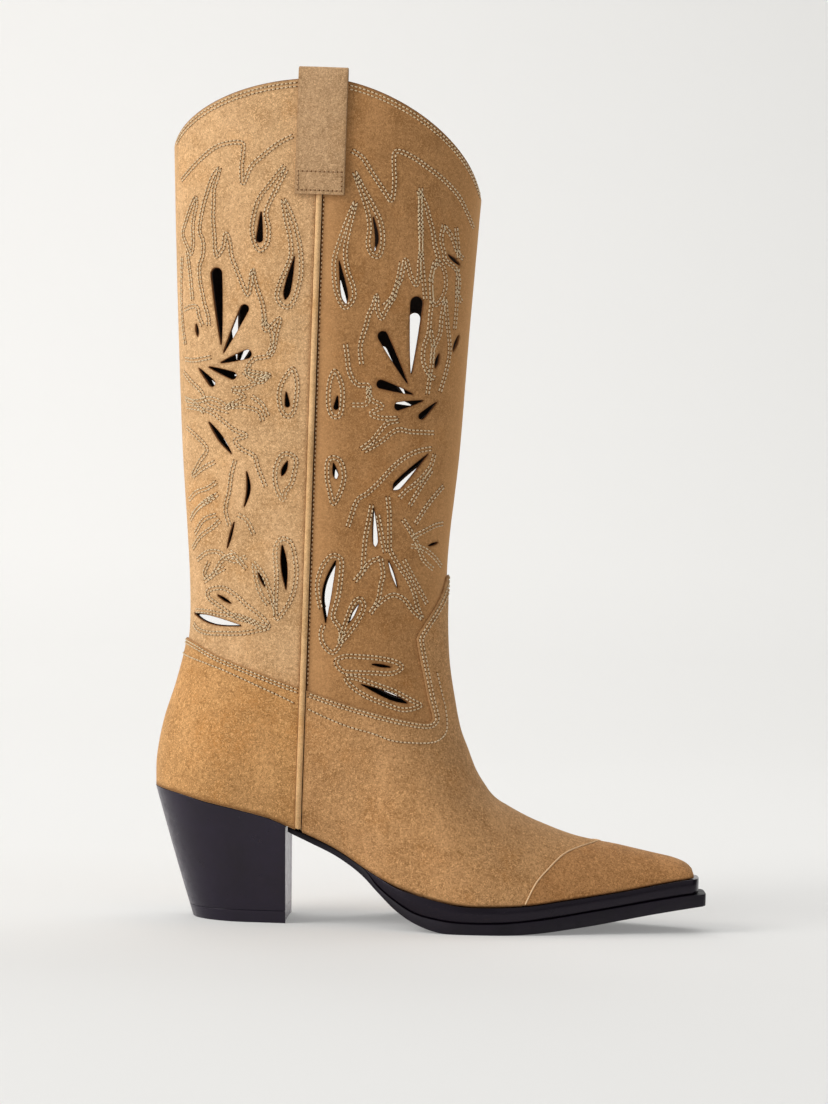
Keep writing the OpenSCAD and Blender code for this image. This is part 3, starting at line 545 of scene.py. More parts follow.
# Rows of pattern stitching on the shaft, each x, z, x, z, ...
BACK_ROWS = [
[-131,351, -122,360, -113,366.5, -102,368, -101,363, -101.5,356.5, -100.5,348.5, -97,356.5,
 -91.5,362, -84,368, -77.5,371.5],
[-81,357.5, -87.5,349, -93,341, -95.5,329.5, -94.5,322, -91.5,317.5, -88,321, -87.5,328,
 -89,335.5, -85.5,344.5, -80,355.5],
[-81,341.5, -77,334.5, -74,326, -72,317, -71.5,307, -73,299, -75.5,292.5, -79,291.5, -82.5,295.5,
 -81.5,302, -78.5,309.5, -76.5,316, -77.5,325, -79.5,332.5, -81,341.5],
[-112,356, -114.5,353.5, -116.5,349, -118,344, -119.5,338.5, -120.5,332.5, -121,326.5,
 -119,321.5, -119,315, -120.5,310, -120,303, -118.5,297, -117.5,292.5, -115.5,286.5, -115,282],
[-112,356, -113,351.5, -114.5,346, -114.5,339.5, -114.5,332, -113.5,324, -113,317.5, -112,314.5,
 -110.5,316.5, -109,319, -108,325.5, -106,321, -105,315, -103,310, -101,305.5, -99,301,
 -96.5,296.5, -95.5,300.5, -94.5,308.5, -93.5,304, -91.5,298, -89.5,293, -88.5,288, -87.5,282.5],
[-123.5,342.5, -126,337.5, -128,331.5, -129.5,326, -128.5,322.5, -126.5,318.5, -125,315.5,
 -124,320.5, -124.5,328, -124,334, -123,338.5, -123.5,342.5],
[-127.5,289.5, -124,291, -121,290.5, -120,286.5, -118,282],
[-88.5,288, -87.5,280, -81,286, -82,280, -84.5,269, -92.5,266.5, -95.5,260, -85.5,258.5],
[-73.5,262.5, -71.5,255, -72,247, -73,242, -75.5,240, -78.5,242.5, -80,249, -79,255.5,
 -75.5,261, -73.5,262.5],
[-74.5,222.5, -71,220, -71.5,214, -73,208, -75.5,205, -76.5,200.5, -79,204.5, -80.5,209,
 -80.5,215.5, -78,221.5, -74.5,222.5],
[-76.5,182.5, -72,180.5, -70,174, -69,166, -70,158, -72.5,151.5, -77.5,144.5, -78.5,149,
 -78.5,154.5, -78.5,165.5, -79.5,177, -76.5,182.5],
[-90,171, -85,165.5, -82.5,160, -80,153.5, -78,146.5],
[-89.5,169.5, -88,162, -85.5,155.5, -82,151],
[-111,156.5, -104,158, -98,155, -92.5,150.5, -86.5,146.5, -81.5,141.5, -84,140, -91,143,
 -98,144.5, -105,149, -111,153, -111,156.5],
[-119,145.5, -113,146.5, -104.5,145.5, -95.5,145, -86.5,142, -81,140.5, -87.5,138.5, -95,137,
 -104.5,136.5, -112.5,136.5, -117.5,139, -119,145.5],
[-125.5,246.5, -119.5,246, -114,247.5, -109,246.5, -104.5,244, -101,245],
[-125,243.5, -118.5,242.5, -112.5,241, -106.5,237, -101,233, -95,230.5, -100.5,228, -97,224,
 -91,221, -89,215.5, -86.5,210, -85,206.5],
[-126.5,266, -121.5,265.5, -113.5,267],
[-95.5,261, -90.5,260, -84.5,259, -90,256.5, -95.5,253, -102.5,252, -96.5,248.5, -104.5,244,
 -96.5,244, -89.5,242, -87.5,237.5],
[-100,218.5, -101.5,213, -102.5,204, -104,195, -101.5,186, -102.5,177, -99,174, -93,167.5],
[-120.5,192, -115.5,197.5, -110,201.5],
[-119,183, -114.5,190, -108.5,192.5],
[-111.5,170, -113.5,164, -110,163, -104.5,171.5, -99,174],
[-98,193, -93.5,190.5, -90,184],
[-129.5,314.5, -129.5,299, -128.5,285, -126.5,273],
[-127,317, -125,306, -123.5,294],
[-127,260, -123,255.5, -117.5,250.5, -115,245, -110,243, -104,241.5],
[-126,247.5, -121.5,245.5, -116,241],
[-124.5,233.5, -119.5,229.5, -114,223.5, -117.5,217.5, -121,210.5, -115.5,214.5, -110,217.5],
[-122.5,199, -118.5,203, -113,205, -109,208],
[-121.5,189.5, -117.5,195.5, -111.5,199.5, -108,202.5],
[-120,176, -116,182, -110,186.5, -106.5,190],
[-117.5,170.5, -112.5,174.5, -107,175, -103,172.5, -98,171, -93,173.5],
[-113.5,160.5, -108.5,164.5, -103.5,167.5],
[-93,249, -88,245.5, -85,240],
[-97.5,260.5, -93,257, -88,256, -85.5,260],
[-89,284, -85,280.5, -84,273.5, -86,268.5]]
FRONT_ROWS = [
[-49.5,365.5, -44.5,362.5, -40,356, -33.5,347, -30,343, -29,352, -29.5,358.5, -29,366,
 -22,364.5, -13.5,359.5, -6,354.5, 1.5,347.5, 6,340, 9.5,333],
[-48,355.5, -43.5,348, -39.5,341.5, -35,333, -33.5,324, -35,317, -38.5,317.5, -40.5,322.5,
 -40,330.5, -42,340, -48,355.5],
[-47,341.5, -50.5,333, -53.5,324, -56,315, -56,307.5, -54.5,299, -50.5,292, -46.5,296,
 -46.5,301.5, -49.5,309, -51,317.5, -50,326.5, -47,341.5],
[-17.5,348.5, -16.5,344, -16,336.5, -15.5,329, -15.5,321.5, -16,314, -16,308.5, -17,304,
 -19.5,307.5, -20.5,310.5, -22.5,316, -23.5,312, -24.5,306.5, -26.5,302, -27.5,297.5,
 -29.5,294.5, -31.5,290.5, -33,287.5, -35,292, -35.5,298.5, -37,293.5, -39,289, -40,284,
 -41.5,279, -42.5,273, -41.5,265.5],
[-17.5,348.5, -14,342, -12,336, -10,329.5, -9,323.5, -7,316.5, -9.5,311.5, -10.5,306],
[-5,333.5, -6,326.5, -4.5,320.5, -3.5,316.5, 1.5,313, 3.5,307, 3,301.5, 5,297.5],
[-4.5,332.5, -1,328, 2,321, 5,318],
[-10,304, -9.5,297, -10,289.5, -10.5,282, -12.5,275, -12.5,268.5, -10,263, -6.5,260.5],
[-3,299, -4.5,290, -5,282, -8,274.5, -8.5,268.5],
[-49.5,275, -48.5,269.5, -47.5,263, -45.5,258.5, -42.5,256, -38,256, -37.5,252],
[-53.5,262, -50.5,255.5, -50,248, -51,241.5, -54.5,241, -56.5,246.5, -56.5,255.5, -55,261,
 -53.5,262],
[-54,221.5, -50,220, -48,213.5, -49,207, -51.5,201, -53,200, -54.5,205.5, -56,212, -56,219,
 -54,221.5],
[-52,175.5, -48,173.5, -48,164.5, -49,155.5, -51,146.5, -47.5,141, -47,134.5, -50.5,129.5,
 -55,133, -56.5,138.5, -55,144.5, -57.5,152, -59,161, -57.5,168.5, -55,173, -52,175.5],
[-38.5,155.5, -42,152.5, -44,147, -46,140, -47.5,134.5, -44,138, -39.5,144.5, -36.5,151.5,
 -38.5,155.5],
[-49,125.5, -44.5,128, -37,128, -29,127.5, -21,126, -17.5,123.5, -22,120.5, -31,120.5,
 -38.5,120.5, -45.5,121, -49,125.5],
[-44,118, -37.5,117.5, -29.5,115, -20.5,112, -11.5,107.5, -8,105.5, -16,103.5, -25,106,
 -34,109.5, -40.5,113.5, -44,118],
[-33.5,200.5, -31.5,195, -30,188.5, -28.5,182, -27.5,177.5],
[-34.5,200, -35.5,193, -37,184, -37.5,175, -38,168, -41.5,163.5],
[-45.5,246.5, -38.5,247.5, -38,255, -36.5,249.5, -31,246.5, -36.5,243, -32,241, -24,241],
[-40.5,226, -36,229.5, -32.5,234, -28.5,238.5, -23,240],
[-39,225, -31.5,229.5, -24,235.5, -17,235, -6,235],
[-7,227.5, -13.5,226, -20,222.5, -25.5,217.5, -31,211, -37,205, -41.5,201.5, -45.5,189],
[-5.5,225, -7.5,218.5, -13,211.5, -18.5,207, -21.5,203.5],
[-27,204, -26,195.5, -25.5,184, -25,178.5, -20.5,171, -17,166.5, -13.5,160, -11,152, -8.5,146.5],
[-29.5,175, -28,167.5, -29,162, -30,155, -33.5,148.5],
[-41.5,163.5, -38,168, -34,173, -29.5,175],
[-33.5,148.5, -30,153, -23.5,157.5, -17.5,155.5, -13,150, -8.5,146.5],
[-15.5,181, -9.5,180, -4,176, 1,170],
[-16.5,350, -16.5,337.5, -15.5,323, -14,309, -12.5,297.5],
[1,332.5, 2.5,320, 2.5,305.5, 2.5,294, 2,284.5],
[-8.5,315.5, -10,305, -8.5,295.5, -5,298, -3,305, -4.5,313, -8.5,315.5],
[-3,298, -1.5,286.5, 0,274.5, -1.5,264, -4,254.5],
[-9.5,283.5, -8,274, -9,262.5, -10,253],
[-24.5,314.5, -26,305, -28.5,297.5, -32,293.5],
[-6.5,217.5, -9.5,212.5, -13,206.5, -16.5,200],
[-0.5,210, -5.5,204, -10,197.5, -13.5,191.5],
[0,192, -4,191, -9.5,188, -15,185],
[-19.5,193.5, -16,188.5, -12,181.5, -9,174.5, -4,170],
[-18.5,174.5, -14.5,167.5, -10.5,160.5, -6.5,153.5]]

# ---- Outlines in the patches
MIRROR = [-1, 1]                           # takes (u, v) to the other side


def follow(patch, us, line, span):
    """(u, v) where the surface crosses the height line(x), looking along v over the span."""
    v = np.linspace(*span, 700)
    out = []
    for u in us:
        place = patch.pos(columns(u, v))
        above = place[:, 2] - line(place[:, 0])
        hits = np.where(above[:-1]*above[1:] <= 0)[0]
        if len(hits):
            j = hits[0]
            t = above[j]/(above[j] - above[j+1] + 1e-12)
            out.append((u, v[j] + t*(v[j+1] - v[j])))
        else:
            out.append((u, v[0] if abs(above[0]) < abs(above[-1]) else v[-1]))
    return np.array(out)


def table_line(table):
    return lambda x: np.interp(x, table[:, 0], table[:, 1])


def level(z):
    return lambda x: z


def below_top(drop):
    return lambda x: top_z(np.clip(x, -136, 13)) - drop


def upright(patch, x, z0, z1, side, step):
    z = np.linspace(z0, z1, max(2, int(abs(z1 - z0)/step)))
    return patch.inv(x, z, side)


def panel_outline(patch, x, low, top, spans, step, ends=None):
    """Loop round a panel from edge x on the outer side to edge x on the inner side.

    spans are the ranges of v in which its low and top lines are looked for; ends are its
    heights at the edges, if they aren't taken from the lines.
    """
    z_low, z_top = ends or (float(low(x)), float(top(x)))

    def across(start, line, span):
        us = np.linspace(start, -start, int(2*abs(start)/step))[1:-1]
        return follow(patch, us, line, span)
    outer = upright(patch, x, z_low, z_top, -1, step)
    inner = upright(patch, x, z_top, z_low, 1, step)
    return join([outer, across(outer[-1, 0], top, spans[1]),
                 inner, across(inner[-1, 0], low, spans[0])])


BACK_SPANS = ((-200, -40), (-402, -60))
FRONT_SPANS = ((row_v(6.5), row_v(7.95)), (row_v(0), row_v(2.2)))
COUNTER_SPANS = ((-80, -30), (-200, -60))


def inner_shift(patch, z):
    """Move of the pattern on the inner side against the outer."""
    up = (z - 140)/160
    return np.array([(4.5 if patch is BACK else -0.8)*up, -4.5*(0.25 + 0.9*up)])


def opening(cut, grow):
    """Outline of a drop (widest 0) or of a slim leaf."""
    start, end = cut[:2], cut[2:4]
    radius, widest, bow = cut[4:]
    radius, tip_radius = radius + grow, 0.16 + grow
    length = norm(end - start)
    ahead = (end - start)/length
    aside = np.array([-ahead[1], ahead[0]])
    t = np.linspace(0, 1, max(14, int(length/0.8)))

    def rounded(centre, r, angle0, angle1, count):
        angle = np.radians(np.linspace(angle0, angle1, count))[:, None]
        return centre + r*(np.cos(angle)*ahead + np.sin(angle)*aside)
    swell = radius - tip_radius
    if widest == 0:
        profile = swell*(1 - t)**0.9*(1 + 0.35*t) + tip_radius
        head = rounded(start, radius, 95, 265, 11)
    else:
        rising = np.sin(np.pi/2*np.clip(t/widest, 0, 1))**0.9
        falling = np.cos(np.pi/2*np.clip((t - widest)/(1 - widest), 0, 0.9999))**1.1
        profile = tip_radius + swell*np.where(t < widest, rising, falling)
        head = rounded(start, tip_radius, 110, 250, 4)
    middle = bow*np.sin(np.pi*t**(math.log(0.5)/math.log(widest))) if bow and widest else 0*t
    spine = start + ahead*(length*t)[:, None]
    low = spine + aside*(middle - profile)[:, None]
    high = (spine + aside*(middle + profile)[:, None])[::-1]
    return np.vstack([head, low[1:-1], rounded(end, tip_radius, -70, 70, 4), high[1:-1]])


def holes(patch, cuts, grow=0.0, step=0.8):
    out = []
    for cut in cuts:
        loop = resample_loop(opening(cut, grow), step)
        out.append(patch.inv(*loop.T, -1))
        out.append(patch.inv(*(loop + inner_shift(patch, cut[1])).T, 1))
    return out


def cap_line(step):
    """Edge of the toe cap on the outer side, from the bottom edge up to the ridge."""
    uv = FRONT.inv(*smooth_line(CAP_EDGE, step).T, -1)
    uv[0, 0] = -92.0                       # the first point goes under the bottom edge
    ridge_v = float(FRONT.inv([80.5], [41.3], -1)[0, 1])
    uv = uv[uv[:, 0] < -3.0]
    last_u, last_v = uv[-1]
    rise = np.sin(np.linspace(0, 1, 8)[1:]*np.pi/2)
    return np.vstack([uv, columns(np.linspace(last_u, 0, 8)[1:],
                                  last_v + (ridge_v - last_v)*rise)])


def vamp_outline():
    step = EDGE_STEP*0.85
    z_edge = float(table_line(VAMP_TOP)(FRONT_EDGE))
    top = smooth_line(np.vstack([[FRONT_EDGE, z_edge], VAMP_TOP[1:]]), step)
    outer = FRONT.inv(*top.T, -1)
    outer[-1, 0] = 0.0
    seam = upright(FRONT, FRONT_EDGE, z_edge, float(feather(FRONT_EDGE)) - 0.2, 1, EDGE_STEP)[1:]
    cap = cap_line(step)
    v = np.linspace(seam[-1, 1] + 1, cap[0, 1], 60)
    bottom = columns(np.interp(v, [row_v(16.0), row_v(17.2)], [90.0, 92.0]), v)
    return join([outer, (outer*MIRROR)[::-1][1:], seam, bottom, (cap*MIRROR)[1:],
                 cap[::-1][1:], (bottom*MIRROR)[::-1], (seam*MIRROR)[::-1]])


def cap_outline():
    outer = cap_line(1.0)
    inner = (outer*MIRROR)[::-1][1:]
    toe_v = row_v(31) - 0.02
    bottom = columns(92.0, np.linspace(inner[-1, 1], toe_v, 70))[1:]
    tip = columns(np.linspace(92, -92, 130), toe_v)[1:-1]
    return join([outer, inner, bottom, tip, (bottom*MIRROR)[::-1]])


def counter_outline():
    bottom = FEATHER - [0, 0.25]
    ends = (float(feather(BACK_EDGE)) - 0.25, float(table_line(COUNTER_TOP)(BACK_EDGE)))
    return panel_outline(BACK, BACK_EDGE, table_line(bottom),
                         table_line(smooth_line(COUNTER_TOP, 1.0)), COUNTER_SPANS, EDGE_STEP, ends)


# ---- Materials, all from nodes
def lin(r, g, b):
    """sRGB 0..255 to linear."""
    return tuple((c/255/12.92) if c/255 <= 0.04045 else ((c/255 + 0.055)/1.055)**2.4
                 for c in (r, g, b))


class Mat:
    """Material around one Principled BSDF; a colour is three linear values."""

    def __init__(self, name):
        self.material = bpy.data.materials.new(name)
        self.material.use_nodes = True
        self.tree = self.material.node_tree
        self.tree.nodes.clear()
        output = self.tree.nodes.new("ShaderNodeOutputMaterial")
        self.bsdf = self.tree.nodes.new("ShaderNodeBsdfPrincipled")
        self.tree.links.new(self.bsdf.outputs[0], output.inputs[0])
        self.coords = self.tree.nodes.new("ShaderNodeTexCoord").outputs["Object"]

    def node(self, kind, inputs, **settings):
        node = self.tree.nodes.new("ShaderNode" + kind)
        for name, value in settings.items():
            setattr(node, name, value)
        for key, value in inputs.items():
            self.feed(node.inputs[key], value)
        return node

    def feed(self, socket, value):
        if hasattr(value, "is_output"):
            self.tree.links.new(value, socket)
        elif socket.type == "RGBA":
            socket.default_value = (*value, 1)
        else:
            socket.default_value = value

    def set(self, **inputs):
        for name, value in inputs.items():
            self.feed(self.bsdf.inputs[name.replace("_", " ")], value)
        return self.material

    def mapped(self, scale=(1, 1, 1), rotation=(0, 0, 0)):
        return self.node("Mapping", {0: self.coords, "Scale": scale,
                                     "Rotation": rotation}).outputs[0]

    def noise(self, scale, detail=3, rough=0.55, vec=None, distortion=0.0):
        return self.node("TexNoise", {
            "Vector": vec or self.coords, "Scale": scale, "Detail": detail,
            "Roughness": rough, "Distortion": distortion}).outputs[0]

    def voronoi(self, scale):
        return self.node("TexVoronoi", {"Vector": self.coords, "Scale": scale}).outputs[0]

    def ramp(self, factor, stops):
        node = self.node("ValToRGB", {0: factor})
        elements = node.color_ramp.elements
        while len(elements) < len(stops):
            elements.new(0.5)
        for element, (position, colour) in zip(elements, stops):
            element.position = position
            element.color = (*colour, 1)
        return node.outputs[0]

    def remap(self, value, to0, to1, from0=0.3, from1=0.7):
        return self.node("MapRange", {0: value, 1: from0, 2: from1, 3: to0, 4: to1}).outputs[0]

    def mix(self, factor, a, b):
        return self.node("Mix", {0: factor, 6: a, 7: b}, data_type="RGBA", blend_type="MIX",
                         clamp_factor=True).outputs[2]

    def attr(self, name):
        return self.node("Attribute", {}, attribute_name=name).outputs["Fac"]

    def axes(self, vector):
        return self.node("SeparateXYZ", {0: vector}).outputs

    def bump(self, height, depth_mm, strength, below=None):
        inputs = {"Strength": strength, "Distance": depth_mm*MM, "Height": height}
        if below is not None:
            inputs["Normal"] = below
        normal = self.node("Bump", inputs).outputs[0]
        self.feed(self.bsdf.inputs["Normal"], normal)
        return normal


# Layers of the suede: noise scale, detail, roughness, z stretch, distortion; strength;
# noise range it fades in over; brightness and r, g, b tint
CLOUDS = [
    (88, 3, 0.58, 1, 0.0, 0.50, (0.50, 0.64), (0.62, 1.06, 0.95, 0.78)),
    (46, 3, 0.6, 1, 0.0, 0.34, (0.53, 0.66), (0.86, 1.12, 0.90, 0.58)),
    (55, 3, 0.55, 0.6, 0.0, 0.45, (0.50, 0.68), (1.36, 1.0, 1.03, 1.12))]
FLECKS = [
    (260, 3, 0.6, 0.45, 0.0, 0.42, (0.42, 0.68), (0.70, 1.04, 0.96, 0.86)),
    (820, 2, 0.62, 1, 1.1, 0.72, (0.43, 0.66), (0.52, 1.0, 0.93, 0.82)),
    (1050, 2, 0.62, 1, 1.4, 0.85, (0.47, 0.68), (1.60, 0.99, 1.03, 1.08))]


def suede(name, tone, nap=1.0, mottle=1.0, painted_seam_light=0.0, painted_rim_sheen=0.0):
    """Nubuck with a raised nap: broad clouds, burnished patches, fine light and dark flecks.

    Its two light arguments paint light into the colour: a painted highlight that pales it towards
    the side seam, and a painted sheen where it turns away from the side.
    """
    m = Mat(name)
    base_tone = lin(*tone)

    def tint(bright, r=1.0, g=1.0, b=1.0):
        return tuple(c*bright*k for c, k in zip(base_tone, (r, g, b)))

    def layered(base, layers, amount):
        for scale, detail, rough, stretch, distortion, strength, fade, colour in layers:
            vec = m.mapped((1, 1, stretch)) if stretch != 1 else None
            noise = m.noise(scale, detail, rough, vec, distortion)
            base = m.mix(m.remap(noise, 0, strength*amount, *fade), base, tint(*colour))
        return base
    base = m.ramp(m.noise(scale=30, detail=4, rough=0.6), [
        (0.32, tint(0.84, 1.0, 0.98, 0.96)), (0.5, tint(1.0)), (0.70, tint(1.14))])
    base = layered(base, CLOUDS, mottle)
    base = m.mix(m.attr("warm"), base, tint(0.97, 1.08, 0.86, 0.58))
    base = layered(base, FLECKS, nap)
    if painted_seam_light:
        # painted highlight: paler towards the side seam, where light falls on the panel
        near = m.remap(m.axes(m.coords)[0], painted_seam_light, 0.0,
                       from0=SEAM_X*MM + 0.001, from1=SEAM_X*MM + 0.016)
        base = m.mix(near, base, tint(1.75, 1.0, 1.05, 1.16))
    if painted_rim_sheen:
        # painted sheen: paler where the surface turns away from the side, read from its normal
        normal = m.node("NewGeometry", {}).outputs["Normal"]
        sideways = m.node("Math", {0: m.axes(normal)[1]}, operation="ABSOLUTE").outputs[0]
        rim_sheen_mask = m.remap(sideways, painted_rim_sheen, 0.0, from0=0.30, from1=0.88)
        base = m.mix(rim_sheen_mask, base, tint(1.75, 1.0, 1.02, 1.04))
    # the edge values darken the colour: darker cut edges, and painted shade along the feather and
    # the strap edges
    base = m.mix(m.attr("edge"), base, tint(0.30, 1.1, 0.9, 0.72))
    m.set(Base_Color=base, Roughness=0.93, Specular_IOR_Level=0.10, Sheen_Weight=0.22,
          Sheen_Roughness=0.5, Sheen_Tint=lin(238, 214, 180))
    fine = m.bump(m.noise(1050, 3, 0.62), depth_mm=0.16, strength=0.7*nap)
    m.bump(m.noise(170, 3, 0.6), depth_mm=0.40, strength=0.4, below=fine)
    return m.material


def speckled(name, dark, light, grain, bump=None, **surface):
    """Two tones by a fine noise; grain is its settings, bump (noise scale, depth, strength)."""
    m = Mat(name)
    colour = m.ramp(m.noise(**grain), [(0.3, lin(*dark)), (0.7, lin(*light))])
    m.set(Base_Color=colour, **surface)
    if bump:
        scale, depth, strength = bump
        m.bump(m.noise(scale, detail=2), depth, strength)
    return m.material


def cut_edge(name, dark, light):
    return speckled(name, dark, light, dict(scale=700, rough=0.7), bump=(1500, 0.08, 0.4),
                    Roughness=0.85, Specular_IOR_Level=0.15)


def thread(name, dark, light):
    m = Mat(name)
    twist = m.node("TexWave", {"Vector": m.mapped(rotation=(0.5, 0.4, 0.3)), "Scale": 1500,
                               "Distortion": 2.0}, bands_direction="Z").outputs["Fac"]
    colour = m.mix(m.remap(m.noise(scale=260, detail=2), 0, 1), lin(*dark), lin(*light))
    shade = m.remap(twist, 0, 0.4, from0=0.2, from1=0.9)
    colour = m.mix(shade, colour, lin(*(value*0.82 for value in dark)))
    m.set(Base_Color=colour, Roughness=0.65, Specular_IOR_Level=0.25, Sheen_Weight=0.08)
    m.bump(twist, depth_mm=0.05, strength=0.5)
    return m.material


def polished(name, dark, light, rough, coat, coat_rough, bump_mm, scale):
    m = Mat(name)
    colour = m.mix(m.remap(m.noise(60), 0, 1), lin(*dark), lin(*light))
    uneven = m.remap(m.noise(scale=180, detail=4, rough=0.7), rough*0.75, rough*1.5)
    m.set(Base_Color=colour, Roughness=uneven, Coat_Weight=coat, Coat_Roughness=coat_rough,
          Specular_IOR_Level=0.35, Coat_Tint=lin(222, 210, 230), Specular_Tint=lin(226, 214, 234))
    m.bump(m.noise(scale), bump_mm, strength=0.5)
    return m.material


def satin(name, dark, light, rough=0.5, scale=400, bump_mm=0.06):
    m = Mat(name)
    colour = m.mix(m.remap(m.noise(scale=90, detail=4), 0, 1), lin(*dark), lin(*light))
    uneven = m.remap(m.noise(250), rough*0.85, min(1, rough*1.2))
    m.set(Base_Color=colour, Roughness=uneven, Specular_IOR_Level=0.3)
    m.bump(m.noise(scale, rough=0.6), bump_mm, strength=0.5)
    return m.material


def metal(name, tone, rough):
    m = Mat(name)
    colour = lin(*tone)
    m.set(Base_Color=m.mix(m.remap(m.noise(200), 0, 1), tuple(c*0.85 for c in colour), colour),
          Metallic=1.0, Roughness=m.remap(m.noise(500), rough*0.7, rough*1.3))
    m.bump(m.noise(scale=900, detail=2), depth_mm=0.02, strength=0.4)
    return m.material


def granular(name, dark, light, scale, rough, bump_mm):
    m = Mat(name)
    dark = lin(*dark)
    grains = m.ramp(m.voronoi(scale), [(0.0, dark), (0.6, lin(*light))])
    m.set(Base_Color=m.mix(m.remap(m.noise(120), 0, 0.5), grains, dark), Roughness=rough,
          Specular_IOR_Level=0.2)
    m.bump(m.voronoi(scale), bump_mm, strength=0.5)
    return m.material


M_SHAFT = suede("suede_shaft", (200, 160, 116), nap=0.95, mottle=1.1)
# the front panel gets a painted highlight by the side seam and a painted sheen at its turning rims
M_FRONT = suede("suede_front_panel", (169, 124, 79), nap=0.85, mottle=1.2,
                painted_seam_light=0.62, painted_rim_sheen=0.72)
M_VAMP = suede("suede_foot", (183, 138, 92), nap=1.1, mottle=1.35)
M_CAP = suede("suede_toe_cap", (175, 126, 79), nap=1.05, mottle=1.3)
M_COUNTER = suede("suede_counter", (189, 142, 91), nap=1.1, mottle=1.5)
M_TRIM = suede("suede_trim", (210, 170, 122), nap=0.5)
M_BEAD = suede("seam_bead", (226, 190, 148), nap=0.25, mottle=0.3)
M_STRAP = suede("suede_strap", (184, 148, 110), nap=0.95, mottle=0.7)
M_CUT = cut_edge("cut_edge", (92, 56, 30), (140, 92, 52))
M_FOLD = cut_edge("folded_edge", (150, 108, 68), (190, 146, 100))
M_LINING = speckled("black_lining", (34, 24, 19), (54, 39, 31), dict(scale=500, rough=0.7),
                    bump=(1200, 0.08, 0.5), Roughness=0.88, Specular_IOR_Level=0.2,
                    Sheen_Weight=0.15, Sheen_Roughness=0.5)
M_THREAD = thread("thread", (214, 188, 148), (242, 220, 184))
M_THREAD_TAN = thread("thread_tan", (168, 132, 94), (190, 156, 118))
# dark diamonds that paint the shade in the needle holes
M_HOLE_SHADE = speckled("needle_hole_shade", (92, 58, 32), (128, 88, 54), dict(scale=900, detail=2),
                  Roughness=0.95, Specular_IOR_Level=0.05)
M_RAND = polished("rand_gloss", (4, 1, 6), (10, 4, 13), rough=0.2, coat=0.10, coat_rough=0.12,
                  bump_mm=0.03, scale=320)
M_SOLE = satin("sole_edge", (11, 5, 15), (21, 12, 27))
M_HEEL = polished("heel_lacquer", (11, 5, 17), (19, 11, 29), rough=0.34, coat=0.42,
                  coat_rough=0.05, bump_mm=0.01, scale=180)
# kept in the palette, though the top lift wears the heel's lacquer
satin("lift_rubber", (17, 10, 22), (29, 21, 35), rough=0.45, scale=700, bump_mm=0.05)
M_SOCK = satin("sock_leather", (38, 30, 26), (60, 48, 40), rough=0.6, scale=900, bump_mm=0.05)
M_FIBRE = granular("fibre_board", (150, 120, 84), (186, 156, 116), 900, rough=0.9, bump_mm=0.1)
M_PUFF = satin("stiffener_sheet", (170, 158, 126), (204, 192, 160), rough=0.7)
M_CORK = granular("cork", (120, 80, 46), (190, 142, 94), 500, rough=0.9, bump_mm=0.3)
M_FOAM = granular("foam", (190, 178, 128), (222, 212, 164), 1400, rough=0.95, bump_mm=0.15)
M_STEEL = metal("spring_steel", (140, 142, 148), rough=0.35)
M_ZINC = metal("zinc_steel", (190, 190, 192), rough=0.3)

# ---- Leather of the upper
# Warm patches: x, z, radius, strength
WARM = [(-120, 195, 17, 0.75), (-97, 90, 16, 0.8), (-84, 106, 18, 0.7), (-87, 323, 14, 0.45),
        (-118, 108, 12, 0.35), (-70, 205, 16, 0.3), (-30, 260, 18, 0.25), (-60, 90, 12, 0.5)]


def vertex_places(ob):
    flat = np.empty(len(ob.data.vertices)*3)
    ob.data.vertices.foreach_get("co", flat)
    return flat.reshape(-1, 3)/MM - PLACE


def paint(ob, edge=None):
    """Vertex values for the suede: warm patches, and darker edges that also carry painted shade
    along the feather and the strap edges.
    """
    places = vertex_places(ob)
    warm = np.zeros(len(places))
    for x, z, radius, strength in WARM:
        off = (places[:, 0]-x)**2 + (places[:, 2]-z)**2
        warm = np.maximum(warm, strength*np.exp(-off/(radius*radius)))
    warm = (warm*(0.75 + 0.35*noise_mm(places, 7, 2))
            + 0.16*np.clip(noise_mm(places, 30, 9), 0, 1))
    put_attr(ob, "warm", np.clip(warm, 0, 1))
    put_attr(ob, "edge", np.zeros(len(places)) if edge is None else edge)


def uneven(places, amount):
    """Gentle unevenness of soft leather, mm."""
    return amount*(0.7*noise_mm(places, 26, 3) + 0.35*noise_mm(places, 9, 5))


def leather(name, node, patch, loops, step, out, inn, mat, folded=False):
    """A suede piece; the foot's pieces have folded, paler edges and painted shade along the
    feather, a dark line where the upper meets the sole.
    """
    ob, place, rim, rim_edges = shell(name, patch, loops, step, out, inn, 0.4 if folded else 0.28)
    reach, face_darkening, side_darkening = (0.7, 0.12, 0.2) if folded else (0.8, 0.42, 0.7)
    count = len(place)
    darkening = np.full(len(ob.data.vertices), side_darkening)
    # the faces darken close to their cut edges
    near = np.clip(1 - distances(place, place[rim])/reach, 0, 1)**2*face_darkening
    darkening[:2*count] = np.tile(near, 2)
    if folded:
        x, _, z = vertex_places(ob).T
        fade = 1.5 if patch is BACK else 0.9
        # painted shade: a dark line along the feather, where the upper meets the sole
        low = 0.9*np.clip(1 - (z - feather(x) - 0.3)/fade, 0, 1)
        darkening = np.maximum(darkening, np.where(z < 75, low, 0))
    paint(ob, darkening)
    ob.data.materials.append(mat)
    ob.data.materials.append(M_FOLD if folded else M_CUT)
    second_material(ob, 5*rim_edges)
    take(ob, [node])


def shaft_face(places):
    return -0.6 + uneven(places, 0.10)


